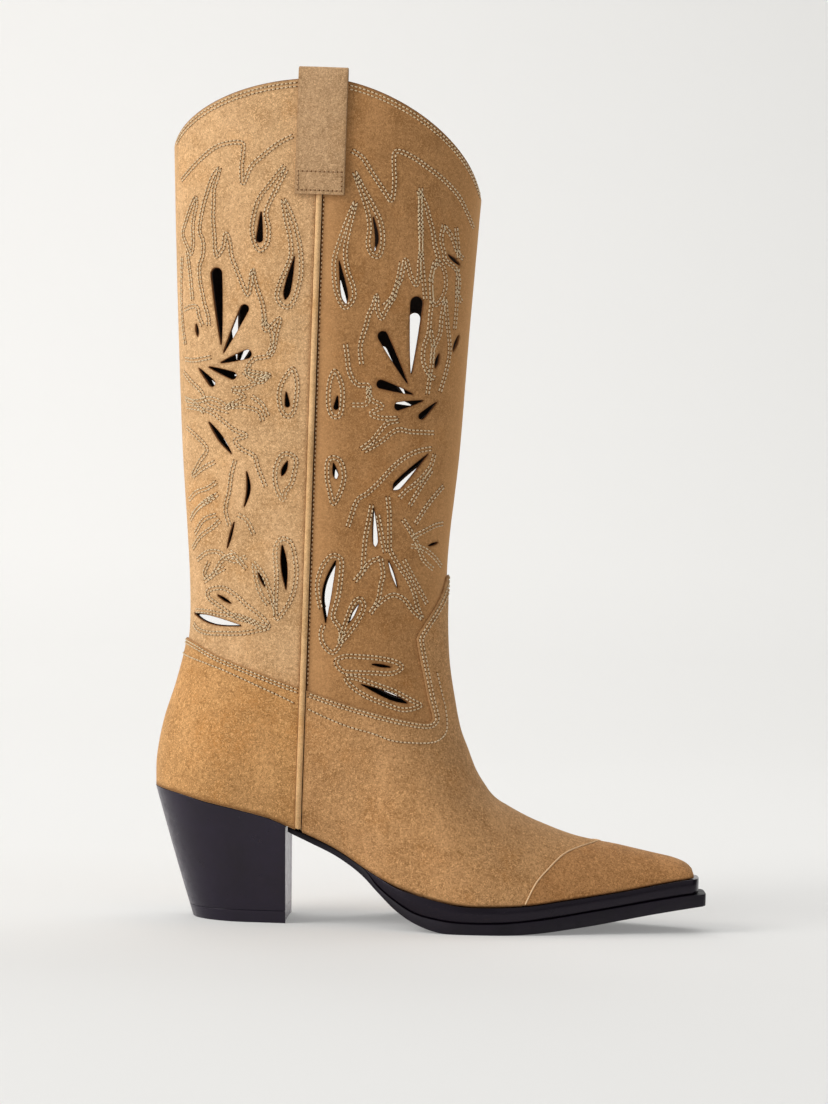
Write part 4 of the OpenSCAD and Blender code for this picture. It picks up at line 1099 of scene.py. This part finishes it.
leather("back_shaft_panel_suede", "back_shaft_panel", BACK,
        [panel_outline(BACK, BACK_EDGE, table_line(COUNTER_TOP - [0, 9]), below_top(0.0),
                       BACK_SPANS, EDGE_STEP)] + holes(BACK, BACK_CUTS),
        STEP, shaft_face, -1.9, M_SHAFT)
leather("front_shaft_panel_suede", "front_shaft_panel", FRONT,
        [panel_outline(FRONT, FRONT_EDGE, table_line(FRONT_LOW), below_top(0.0),
                       FRONT_SPANS, EDGE_STEP)] + holes(FRONT, FRONT_CUTS),
        STEP, shaft_face, -1.9, M_FRONT)
leather("vamp_suede", "vamp", FRONT, [vamp_outline()], STEP,
        lambda places: 0.55 + np.minimum(0, uneven(places, 0.12) - 0.05), -0.5, M_VAMP, True)
leather("toe_cap_suede", "toe_cap", FRONT, [cap_outline()], STEP*1.2, 0.55, -0.5, M_CAP, True)
leather("counter_suede", "counter", BACK, [counter_outline()], STEP,
        lambda places: 0.58 + np.minimum(0, uneven(places, 0.10) - 0.04), -0.5, M_COUNTER, True)


def cord(name, path, normals, radius, sides, nodes, mat):
    aside = unit(np.cross(tangents(path), normals))
    up = np.cross(aside, tangents(path))
    turn = np.linspace(0, 2*np.pi, sides, endpoint=False)[:, None]
    rings = path[:, None] + radius[:, None, None]*(
        np.cos(turn)*aside[:, None] + np.sin(turn)*up[:, None])
    ends = path[[0, -1]] + tangents(path)[[0, -1]]*radius[[0, -1], None]*[[-0.5], [0.5]]
    faces = ring_faces(len(path), sides)
    last = (len(path) - 1)*sides
    start, end = len(path)*sides, len(path)*sides + 1
    faces += [[start, (j+1) % sides, j] for j in range(sides)]
    faces += [[end, last+j, last+(j+1) % sides] for j in range(sides)]
    ob = new_mesh(name, np.vstack([rings.reshape(-1, 3), ends]), faces)
    paint(ob)
    take(ob, nodes, mat)


def toe_cap_bead():
    outer = cap_line(0.8)
    outer = outer[outer[:, 0] > -91.0]
    line = resample(np.vstack([outer, (outer*MIRROR)[::-1][1:]]), 0.8)
    place, normal, _, _ = FRONT.frame(line)
    cord("toe_cap_seam_bead", place + normal*0.58, normal, 0.36 + 0.03*noise_mm(place, 2.0, 6),
         10, [], M_BEAD)


toe_cap_bead()


# ---- Linings
def lining(name, node, patch, loops, step):
    ob, *_ = shell(name, patch, loops, step, out=-2.02, inn=-2.88, radius=0.15)
    take(ob, [node], M_LINING)


def vamp_lining_outline():
    v0, v1 = row_v(8.15), row_v(28.7)
    side, step = 89.0, 3.0
    u = np.linspace(-side, side, int(2*side/step))
    v = np.linspace(v0, v1, int((v1 - v0)/step))
    return join([columns(u, v0), columns(side, v), columns(u[::-1], v1), columns(-side, v[::-1])])


lining("back_shaft_lining_cloth", "back_shaft_lining", BACK,
       [panel_outline(BACK, SEAM_X - 0.06, level(97.5), below_top(0.5), BACK_SPANS,
                      EDGE_STEP*1.4)] + holes(BACK, BACK_CUTS, 0.35, 1.2), STEP*1.7)
lining("front_shaft_lining_cloth", "front_shaft_lining", FRONT,
       [panel_outline(FRONT, SEAM_X + 0.06, level(97.0), below_top(0.5), FRONT_SPANS,
                      EDGE_STEP*1.4)] + holes(FRONT, FRONT_CUTS, 0.35, 1.2), STEP*1.7)
lining("vamp_lining_cloth", "vamp_lining", FRONT, [vamp_lining_outline()], 3.6)
lining("heel_lining_cloth", "heel_lining", BACK,
       [panel_outline(BACK, SEAM_X - 0.6, table_line(FEATHER + [0, 0.8]), level(96.2),
                      BACK_SPANS, 3.0)], 3.6)

# ---- Plates of the bottom
# x, underside z, upper side z, half width
RAND = np.array([
    [-33,27.6,28.3,29.4], [-26,20.5,24.6,33.2], [-17,13.8,20.1,38], [-8,8.9,17.5,41.4],
    [3,6.4,14.9,43.9], [14,5.3,12.9,44.9], [30,5.3,12.7,43.9], [46,6.4,13.5,40.4],
    [62,8.6,15.7,35.4], [78,11.1,17.9,29.7], [92,13.3,20.0,24.6], [104,15.3,22.2,20.2],
    [114,16.9,24.0,16.6], [121,18.0,25.2,14.2]])
RAND_HEIGHTS = np.vstack([RAND, [[126.6,18.6,25.8,12.4], [128.6,18.9,26.0,0]]])
# x, y of the rand's tip, before the swing of the toe
RAND_TIP = [[121,14.2], [126.2,12.2], [128.0,8.5], [128.55,4], [128.6,0], [128.55,-4],
            [128.0,-8.5], [126.2,-12.2], [121,-14.2]]
SOLE = np.array([
    [-69.2,43.4,45.9,24], [-58,38.4,41.4,23.8], [-47,33.4,36.5,25], [-38,28.0,31.4,27.6],
    [-32,23.4,27.4,30.4], [-26,17.6,20.3,34], [-17,9.6,13.6,39], [-8,4.2,8.7,42.8],
    [3,0.6,6.2,45.6], [12,0,5.2,46.8], [30,0,5.1,46], [42,0.2,5.9,43.2], [54,1.2,7.2,40.2],
    [66,2.7,9.0,35.9], [78,4.4,10.9,31.6], [92,6.8,13.1,26.6], [104,8.9,15.1,22.4],
    [114,10.5,16.7,18.8], [121,11.6,17.8,16.4], [127,12.5,18.5,14.4], [130.6,13.0,18.8,12.8],
    [132,13.2,18.9,11]])


def plate(name, node, loop, low, high, step, radius, mat):
    ob, *_ = shell(name, Plate(low, high), [loop], step, lambda p: high(p[:, 0]) - p[:, 2],
                   lambda p: low(p[:, 0]) - p[:, 2], radius)
    take(ob, [node], mat)


def heights(table, column):
    return lambda x: curve(x, table, column)


def other_side(line):
    """Mirror a plan line in the swung middle line."""
    return columns(line[:, 0], 2*swing(line[:, 0]) - line[:, 1])


def sole_loop():
    heel_x, _, _, heel_half = SOLE[0]
    tip_x = 131.0
    x = np.concatenate([np.arange(heel_x, 121, 1.5), np.linspace(121, tip_x, 12)])
    side = columns(x, curve(x, SOLE, 3) + swing(x))
    tip_half = float(curve(tip_x, SOLE, 3))
    y = np.linspace(1, -1, 19)[1:-1]*tip_half
    tip = columns(tip_x + (1 - np.abs(y/tip_half)**6.0), y + swing(tip_x))
    breast = columns(heel_x, np.linspace(-heel_half, heel_half, 17)[1:-1])
    return resample_loop(np.vstack([side, tip, other_side(side)[::-1], breast]), 1.5)


def rand_loop():
    """A strip round the front of the foot, open towards the heel."""
    x = np.arange(-33, 121.01, 1.5)
    half_width = curve(x, RAND, 3)
    outer = columns(x, half_width + swing(x))
    tip = smooth_line(RAND_TIP, 1.2)[1:-1] + [0, TOE_SWING]
    inner = columns(x, half_width - np.minimum(9, half_width*0.5) + swing(x))
    return np.vstack([outer, tip, other_side(outer)[::-1], other_side(inner), inner[::-1]])


def sock_loop():
    x0, x1 = -127.6, 115
    x = np.concatenate([x0 + (1 - np.cos(np.linspace(0, np.pi/2, 16)))*6,
                        np.arange(x0 + 7.5, x1 - 4, 2.0),
                        x1 - 4 + np.sin(np.linspace(0, np.pi/2, 8))*4])
    side = (curve(x, FOOT) - 3.4)*arc((x + 129)/29) - 0.8
    tip = np.sqrt(np.clip(1 - ((x - x1 + 8)/8.4)**2, 0.02, 1))
    side = np.maximum(side*np.where(x > x1 - 8, tip, 1), 0.6)
    line = columns(x, side + swing(x))
    return resample_loop(np.vstack([line, other_side(line)[::-1]]), 2.0)


def sock_z(x):
    return feather(x) + 2.7 + 3.8*ease((-70 - x)/16)


plate("outsole_leather", "outsole", sole_loop(), heights(SOLE, 1), heights(SOLE, 2),
      step=2.4, radius=0.35, mat=M_SOLE)
plate("rand_gloss_strip", "rand", rand_loop(), heights(RAND_HEIGHTS, 1), heights(RAND_HEIGHTS, 2),
      step=2.4, radius=0.55, mat=M_RAND)
plate("sock_liner_leather", "sock_liner", sock_loop(), sock_z, lambda x: sock_z(x) + 1.1,
      step=4.0, radius=0.3, mat=M_SOCK)


# ---- Heel
def heel_outline(down):
    """Plan loop of the heel, at the upper (0) or carried down to the ground (1)."""
    rear_x, radius = -133.9 + 20.1*down, 33 - 7*down
    rear_half, front_half = mix(31.9, 24.5, down), mix(30.4, 24.1, down)
    breast_x = -70.2 + 1.4*down
    turn = np.radians(np.linspace(0, 180, 49))
    rear = columns(rear_x + radius*(1 - np.sin(turn)), -rear_half*np.cos(turn))
    t = np.linspace(0, 1, 14)[1:-1]
    side_y = mix(rear_half, front_half, t)
    inner = columns(mix(rear_x + radius, breast_x + 1.4, t), side_y)
    outer = columns(mix(rear_x + radius, breast_x, t), -side_y)[::-1]
    y = np.linspace(1, -1, 25)
    breast = columns(breast_x + 0.7*(1 + y) - 0.5*(1 - y*y), y*front_half)
    return np.vstack([rear, inner, breast, outer])


def heel(name, node, low, high, rows):
    """A slice of the heel from z low to high, or up to the upper if high is None."""
    top, ground = heel_outline(0.0), heel_outline(1.0)
    size = len(top)
    rings = []
    for part in np.linspace(0, 1, rows):
        down = np.zeros(size)
        for _ in range(8):                 # the outline depends on the height, and it on x
            outline = mix(top, ground, down[:, None])
            under_upper = feather(outline[:, 0]) - 0.35
            z = mix(under_upper if high is None else np.full(size, high), low, part)
            down = 1 - z/under_upper
        rings.append(columns(*outline.T, z))
    verts = np.vstack(rings + [rings[0].mean(0), rings[-1].mean(0)])
    faces = [face[:1] + face[:0:-1] for face in ring_faces(rows, size)]
    last, centre = (rows - 1)*size, rows*size
    faces += [[centre, j, (j+1) % size] for j in range(size)]
    faces += [[centre + 1, last+(j+1) % size, last+j] for j in range(size)]
    ob = new_mesh(name, verts, faces)
    bevel = ob.modifiers.new("edge", "BEVEL")
    bevel.width = 0.22*MM
    bevel.segments = 3
    bevel.limit_method = "ANGLE"
    bevel.angle_limit = math.radians(38)
    bevel.harden_normals = False
    take(ob, [node], M_HEEL)


heel("heel_block_lacquered", "heel_block", low=5.9, high=None, rows=18)
heel("top_lift_rubber", "top_lift", low=0.0, high=5.8, rows=4)


# ---- Piping and pull straps
SIDES = ((-1, "outer"), (1, "inner"))


def on_side(x, z, side, offset):
    """Places at an offset from the side of the boot, and the normals there."""
    e = 0.4
    slope_x = (half(x+e, z) - half(x-e, z))/(2*e)
    slope_z = (half(x, z+e) - half(x, z-e))/(2*e)
    normal = unit(columns(-slope_x, float(side), -slope_z))
    place = columns(x, side*half(x, z) + swing(x), z)
    return place + normal*np.asarray(offset).reshape(-1, 1), normal


for side, side_name in SIDES:
    z = np.arange(float(feather(SEAM_X)) + 1.2, 347.0, 1.0)
    offset = -0.35 + 0.5*ease((122 - z)/12) - 1.5*ease((z - 343.2)/2.5)
    path, normals = on_side(np.full(len(z), SEAM_X - 0.22), z, side, offset)
    radius = 1.42 + 0.035*noise_mm(path, 5, 4) + 0.02*noise_mm(path, 1.7, 8)
    cord(side_name + "_side_piping_cord", path, normals, radius, 14,
         [side_name + "_side_piping"], M_TRIM)

STRAP_THICK = 2.0
STRAP_OUT, STRAP_IN = 0.15, -2.9 - STRAP_THICK - 0.3   # offsets of the lower face of each leg
STRAP_HALF, STRAP_ROUND, STRAP_LOW = 11.7, 0.55, 344.5


def strap_path():
    """Stations outer z, offset and inner z, offset: up, over the top edge and down inside."""
    thick = STRAP_THICK
    radius = (STRAP_OUT + thick - STRAP_IN)/2
    middle = (STRAP_OUT + thick + STRAP_IN)/2
    rising = [*np.arange(STRAP_LOW, TOP_SIDE - 1, 2.0), TOP_SIDE]
    path = [(z, STRAP_OUT + thick, z, STRAP_OUT) for z in rising]
    for angle in np.arange(7.5, 180, 7.5):
        sin, cos = math.sin(math.radians(angle)), math.cos(math.radians(angle))
        base = TOP_SIDE + 1.2*ease(angle/40)*ease((180-angle)/40)
        path.append((base + radius*sin*1.1, middle + radius*cos,
                     base + (radius-thick)*sin*1.1, middle + (radius-thick)*cos))
    end = STRAP_LOW + 3
    falling = [TOP_SIDE, *np.arange(TOP_SIDE - 2, end, -2.0), end]
    return path + [(z, STRAP_IN, z, STRAP_IN + thick) for z in falling]


def strap_section():
    """Ring across the strap: place along its width, and 1 on its outer face to 0 inside."""
    flat = STRAP_HALF - STRAP_ROUND
    angle = np.radians([22.5, 45, 67.5, 90])
    wide = flat + STRAP_ROUND*np.sin(angle)
    deep = (STRAP_ROUND/STRAP_THICK)*(1 - np.cos(angle))
    first = np.vstack([columns(np.linspace(-flat, flat, 15), 1.0), columns(wide, 1 - deep),
                       columns(wide, deep)[::-1]])
    return np.vstack([first, [0, 1] - first])


def pull_strap(side, side_name):
    section = strap_section()
    across, depth = section.T
    x = SEAM_X + across
    rings = []
    for z_out, off_out, z_in, off_in in strap_path():
        z, offset = mix(z_in, z_out, depth), mix(off_in, off_out, depth)
        rings.append(columns(x, side*(half(x, np.minimum(z, 400)) + offset), z))
    size, count = len(section), len(rings)
    faces = ring_faces(count, size)
    faces += [list(range(size))[::-1], [(count-1)*size + j for j in range(size)]]
    if side > 0:
        faces = [face[::-1] for face in faces]
    ob = new_mesh(side_name + "_pull_strap_suede", np.vstack(rings), faces)
    ob.data.set_sharp_from_angle(angle=math.radians(60))
    # painted shade: the strap darkens towards both long edges
    darkening = np.clip(1 - (STRAP_HALF - np.abs(across))/0.9, 0, 1)*0.55
    paint(ob, np.tile(darkening, count))
    take(ob, [side_name + "_pull_strap"], M_STRAP)


for side, side_name in SIDES:
    pull_strap(side, side_name)


# ---- Stitching
def stitched(name, lines, nodes=(), mat=M_THREAD, radius=0.34, pitch=2.0, gap=0.62, sides=5,
             rise=0.9, hole=0.46):
    """Short threads that dip into the leather at both ends, with dark diamonds between them that
    paint the shade in the needle holes.

    lines are pairs of points and normals; rise is the thread's height in radii.
    """
    stations = np.array([-1, -0.66, 0.66, 1.0])
    lift = np.array([-0.14, radius*rise, radius*rise, -0.14])[:, None]
    radii = (np.array([0.55, 1, 1, 0.55])*radius)[:, None, None]
    turn = (np.linspace(0, 2*np.pi, sides, endpoint=False) + 0.3)[:, None]
    verts, faces, hole_verts, hole_faces = [], [], [], []
    base = hole_base = 0
    for points, normals in lines:
        run = run_length(points)
        count = int(run[-1]/pitch)
        if count < 1:
            continue
        spacing = run[-1]/count
        at = ((np.arange(count) + 0.5)*spacing)[:, None] + stations*((spacing - gap)/2)
        centre, up = along(at, run, points), unit(along(at, run, normals))
        aside = unit(np.cross(up, unit(centre[:, -1] - centre[:, 0])[:, None]))
        ring = (centre + up*lift)[:, :, None] + radii*(
            np.cos(turn)*aside[:, :, None] + np.sin(turn)*up[:, :, None])
        verts.append(ring.reshape(-1, 3))
        first = base + np.arange(count)*4*sides
        for a in range(3):
            for j in range(sides):
                near, far, k = a*sides, (a+1)*sides, (j+1) % sides
                faces += columns(first+near+j, first+near+k, first+far+k, first+far+j).tolist()
        faces += [list(range(i, i + sides))[::-1] for i in first]
        faces += [list(range(i + 3*sides, i + 4*sides)) for i in first]
        base += count*4*sides

        at = np.arange(count + 1)*spacing
        centre, up = along(at, run, points), unit(along(at, run, normals))
        ahead = unit(along(at + 0.2, run, points) - along(at - 0.2, run, points))
        aside = np.cross(up, ahead)*hole
        ahead = ahead*(hole*0.9)
        diamond = np.stack([centre + ahead, centre + aside, centre - ahead, centre - aside,
                            centre + up*0.07, centre - up*0.12], 1)
        hole_verts.append(diamond.reshape(-1, 3))
        first = hole_base + np.arange(count + 1)*6
        for a in range(4):
            b = (a+1) % 4
            hole_faces += columns(first + a, first + b, first + 4).tolist()
            hole_faces += columns(first + b, first + a, first + 5).tolist()
        hole_base += (count + 1)*6
    faces += [[i + base for i in face] for face in hole_faces]
    ob = new_mesh(name, np.vstack(verts + hole_verts), faces)
    ob.data.materials.append(mat)
    ob.data.materials.append(M_HOLE_SHADE)
    second_material(ob, len(hole_faces))
    take(ob, nodes)


def seam(patch, line, side, lift, beside=(0,)):
    """Stitch lines along a side-view line, moved sideways by the given distances."""
    pts = smooth_line(line, 0.9)
    x, z = pts.T
    low, high = back_x(z) + 0.25, front_x(z) - 0.25
    x = np.clip(x, np.where(z > 94, low, -999), np.where(z > 112, high, 999))
    keep = x < BACK_EDGE - 0.9 if patch is BACK else x > FRONT_EDGE + 0.9
    if keep.sum() < 3:
        return []
    place, normal, _, _ = patch.frame(patch.inv(x[keep], z[keep], side))
    aside = np.cross(normal, tangents(place))
    return [(place + normal*lift + aside*off, normal) for off in beside]


def both_sides(patch, line, lift):
    return seam(patch, line, -1, lift) + seam(patch, line, 1, lift)


def clear_parts(row, cuts):
    """The parts of a row that keep off the openings and the front and back lines."""
    pts = smooth_line(np.reshape(row, (-1, 2)), 0.9)
    blocked = (pts[:, 0] > front_x(pts[:, 1]) - 2.7) | (pts[:, 0] < back_x(pts[:, 1]) + 2.2)
    for cut in cuts:
        blocked |= inside(pts, [opening(cut, 0.9)])
    parts = [[]]
    for point, stop in zip(pts, blocked):
        if stop:
            parts.append([])
        else:
            parts[-1].append(point)
    return [np.array(part) for part in parts if len(part) > 4]


SHAFT_LIFT, FOOT_LIFT, COUNTER_LIFT = -0.58, 0.57, 0.60


def pattern_lines(side):
    lines = []
    for patch, rows, cuts in ((BACK, BACK_ROWS, BACK_CUTS), (FRONT, FRONT_ROWS, FRONT_CUTS)):
        for row in rows:
            for part in clear_parts(row, cuts):
                if side > 0:
                    part = part + [inner_shift(patch, z) for z in part[:, 1]]
                lines += seam(patch, part, side, SHAFT_LIFT, beside=(-0.8, 0.8))
    return lines


def top_edge_lines():
    lines = []
    for drop in (1.8, 3.55):
        for side in (-1, 1):
            for patch, x in ((BACK, np.linspace(-134.2, -76.4, 70)),
                             (FRONT, np.linspace(-51.6, 12.0, 76))):
                lines += seam(patch, columns(x, top_z(x) - drop), side, SHAFT_LIFT)
    return lines


# A third row, further below the top of the vamp and of the counter
VAMP_THIRD = [
    [FRONT_EDGE + 1,102.6], [-52,98.6], [-42.1,95.0], [-30.2,91.9], [-21.4,88.9], [-11.2,87.9],
    [-3,88.0], [1.0,89.4], [3.6,92.2], [4.2,96.5], [3.2,104], [1.0,112], [-1.4,121]]
COUNTER_THIRD = [[-124,126.2], [-119,124.3], [-109,121.4], [-99,118.1], [-84.2,112.1],
                 [-77,109.2], [-68,105.2]]


def vamp_lines():
    top = smooth_line(np.vstack([[FRONT_EDGE + 1, 111.1], VAMP_TOP[1:]]), 0.8)
    ahead = tangents(top)
    normal = columns(-ahead[:, 1], ahead[:, 0])
    lines = []
    for inset in (1.05, 2.5):
        lines += both_sides(FRONT, top - normal*inset, FOOT_LIFT)
    return lines + both_sides(FRONT, VAMP_THIRD, FOOT_LIFT)


def counter_lines():
    x = np.linspace(-126, BACK_EDGE - 1.0, 50)
    z = table_line(smooth_line(COUNTER_TOP, 1))(x)
    lines = []
    for drop in (1.1, 2.55):
        lines += both_sides(BACK, columns(x, z - drop), COUNTER_LIFT)
    return lines + both_sides(BACK, COUNTER_THIRD, COUNTER_LIFT)


def strap_lines():
    """A box of stitches near the lower end of each strap."""
    wide, low, high = 10.2, 346.2, 355.0
    lines = []
    for side in (-1, 1):
        for ends in ([(-wide, low), (wide, low)], [(-wide, high), (wide, high)],
                     [(-wide, low), (-wide, high)], [(wide, low), (wide, high)]):
            across, z = resample(np.array(ends), 0.8).T
            x = SEAM_X + across
            place = columns(x, side*(half(x, z) + 2.16), z)
            lines.append((place, np.tile([0, float(side), 0], (len(place), 1))))
    return lines


def side_seam_lines():
    z = np.arange(114, 344, 1.0)
    return [on_side(np.full(len(z), SEAM_X + 2.0), z, side, -0.52) for side in (-1, 1)]


stitched("shaft_pattern_stitching_outer", pattern_lines(-1), sides=4)
stitched("shaft_pattern_stitching_inner", pattern_lines(1), sides=4)
stitched("top_edge_stitches", top_edge_lines(), ["top_edge_stitching"], radius=0.33)
stitched("vamp_stitches", vamp_lines(), ["vamp_stitching"])
stitched("counter_stitches", counter_lines(), ["counter_stitching"])
stitched("pull_strap_stitches", strap_lines(), ["pull_strap_stitching"], mat=M_THREAD_TAN,
         radius=0.28, rise=0.3, hole=0.5)
# sunken threads with large dark diamonds: a row of painted shade in the seam's groove
stitched("side_seam_stitches", side_seam_lines(), radius=0.16, pitch=2.1, gap=1.2, sides=4,
         rise=0.0, hole=0.60)

# ---- Inner parts carried over from the CAD frame
for node, mat in (("counter_stiffener", M_PUFF), ("toe_puff", M_PUFF), ("insole_board", M_FIBRE),
                  ("heel_pad", M_FOAM), ("bottom_filler", M_CORK), ("steel_shank", M_STEEL),
                  ("heel_screw", M_ZINC), ("heel_nails", M_ZINC), ("top_lift_nails", M_ZINC)):
    NODES[node].data.materials.clear()
    NODES[node].data.materials.append(mat)


# ---- Studio, in metres
def studio_floor():
    """A floor that curves up into a back wall, with light painted into its paper: paler on the
    wall and towards the left, and a faint glow, strongest on the floor, that thins the shadows.
    """
    front_y, bend_y, bend = -4.0, 1.2, 1.4
    profile = [(front_y, 0.0), (bend_y, 0.0)]
    profile += [(bend_y + bend*math.sin(a), bend*(1 - math.cos(a)))
                for a in np.radians(np.linspace(6, 90, 15))]
    profile.append((bend_y + bend, 4.5))
    verts = [(x, y, z) for y, z in profile for x in np.linspace(-5, 5, 3)]
    faces = [[i*3+j, i*3+j+1, (i+1)*3+j+1, (i+1)*3+j]
             for i in range(len(profile)-1) for j in range(2)]
    mesh = bpy.data.meshes.new("studio_floor")
    mesh.from_pydata(verts, [], faces)
    mesh.update()
    mesh.polygons.foreach_set("use_smooth", np.ones(len(faces), bool))
    ob = bpy.data.objects.new("studio_floor", mesh)
    bpy.context.scene.collection.objects.link(ob)
    m = Mat("studio_paper")
    x, y, _ = m.axes(m.coords)
    # painted light: the wall pales towards the left and the floor is darker than the wall
    wall = m.mix(m.remap(x, 0, 1, from0=-0.6, from1=0.9), (0.965, 0.95, 0.93), (0.79, 0.785, 0.77))
    floor = m.mix(m.remap(m.noise(scale=0.8, detail=2), 0, 1), (0.60, 0.598, 0.588),
                  (0.615, 0.612, 0.602))
    # the emission is painted light: the paper glows, most on the floor, to thin the shadows under
    # the boot
    mesh.materials.append(m.set(
        Base_Color=m.mix(m.remap(y, 0, 1, from0=-0.2, from1=1.8), floor, wall), Roughness=0.95,
        Specular_IOR_Level=0.1, Emission_Color=(1, 0.99, 0.975),
        Emission_Strength=m.remap(y, 0.21, 0.035, from0=0.3, from1=1.6)))


def area_light(name, place, target, size, power, color=(1, 1, 1)):
    light = bpy.data.lights.new(name, "AREA")
    light.shape = "RECTANGLE"
    light.size, light.size_y = size
    light.energy = power
    light.color = color
    ob = bpy.data.objects.new(name, light)
    ob.location = place
    ob.rotation_euler = (Vector(target) - Vector(place)).to_track_quat("-Z", "Y").to_euler()
    bpy.context.scene.collection.objects.link(ob)


def studio_world():
    """Even light from all round, brighter on the left."""
    world = bpy.data.worlds.new("studio")
    bpy.context.scene.world = world
    world.use_nodes = True
    nodes, link = world.node_tree.nodes, world.node_tree.links.new
    background = nodes["Background"]
    background.inputs[0].default_value = (0.95, 0.955, 0.95, 1)
    coords = nodes.new("ShaderNodeTexCoord")
    split = nodes.new("ShaderNodeSeparateXYZ")
    fade = nodes.new("ShaderNodeMapRange")
    link(coords.outputs["Generated"], split.inputs[0])
    link(split.outputs[0], fade.inputs[0])
    link(fade.outputs[0], background.inputs[1])
    for i, value in enumerate((-0.9, 0.9, 0.98, 0.16), 1):     # x range, then brightness range
        fade.inputs[i].default_value = value


def camera():
    """Looks at the outer side from a little above, rolled by two degrees."""
    distance, view_height, sensor = 1800, 529.92, 36.0         # mm
    lens_data = bpy.data.cameras.new("camera")
    ob = bpy.data.objects.new("camera", lens_data)
    bpy.context.scene.collection.objects.link(ob)
    lens_data.sensor_fit = "VERTICAL"
    lens_data.sensor_height = sensor
    lens_data.lens = sensor*distance/view_height
    lens_data.clip_start = 0.05
    lens_data.clip_end = 50
    x = -0.0139 + 0.001705
    eye, target = Vector((x, -1.8, 0.210)), Vector((x, 0, 0.1778))
    roll = Matrix.Rotation(math.radians(2.0), 4, "Z").to_quaternion()
    ob.location = eye
    ob.rotation_mode = "QUATERNION"
    ob.rotation_quaternion = (target - eye).to_track_quat("-Z", "Y") @ roll
    bpy.context.scene.camera = ob


studio_floor()
area_light("key", (-1.9, -1.1, 1.35), target=(-0.02, 0, 0.17), size=(1.3, 1.3), power=34,
           color=(1.0, 0.985, 0.96))
area_light("fill", (1.6, -1.8, 1.0), target=(0, 0, 0.15), size=(1.6, 1.6), power=2.5,
           color=(0.96, 0.98, 1.0))
area_light("back", (0.2, 1.4, 2.2), target=(0, 0.1, 0.1), size=(2.2, 1.2), power=16)
studio_world()
bpy.context.scene.view_settings.view_transform = "Standard"
camera()
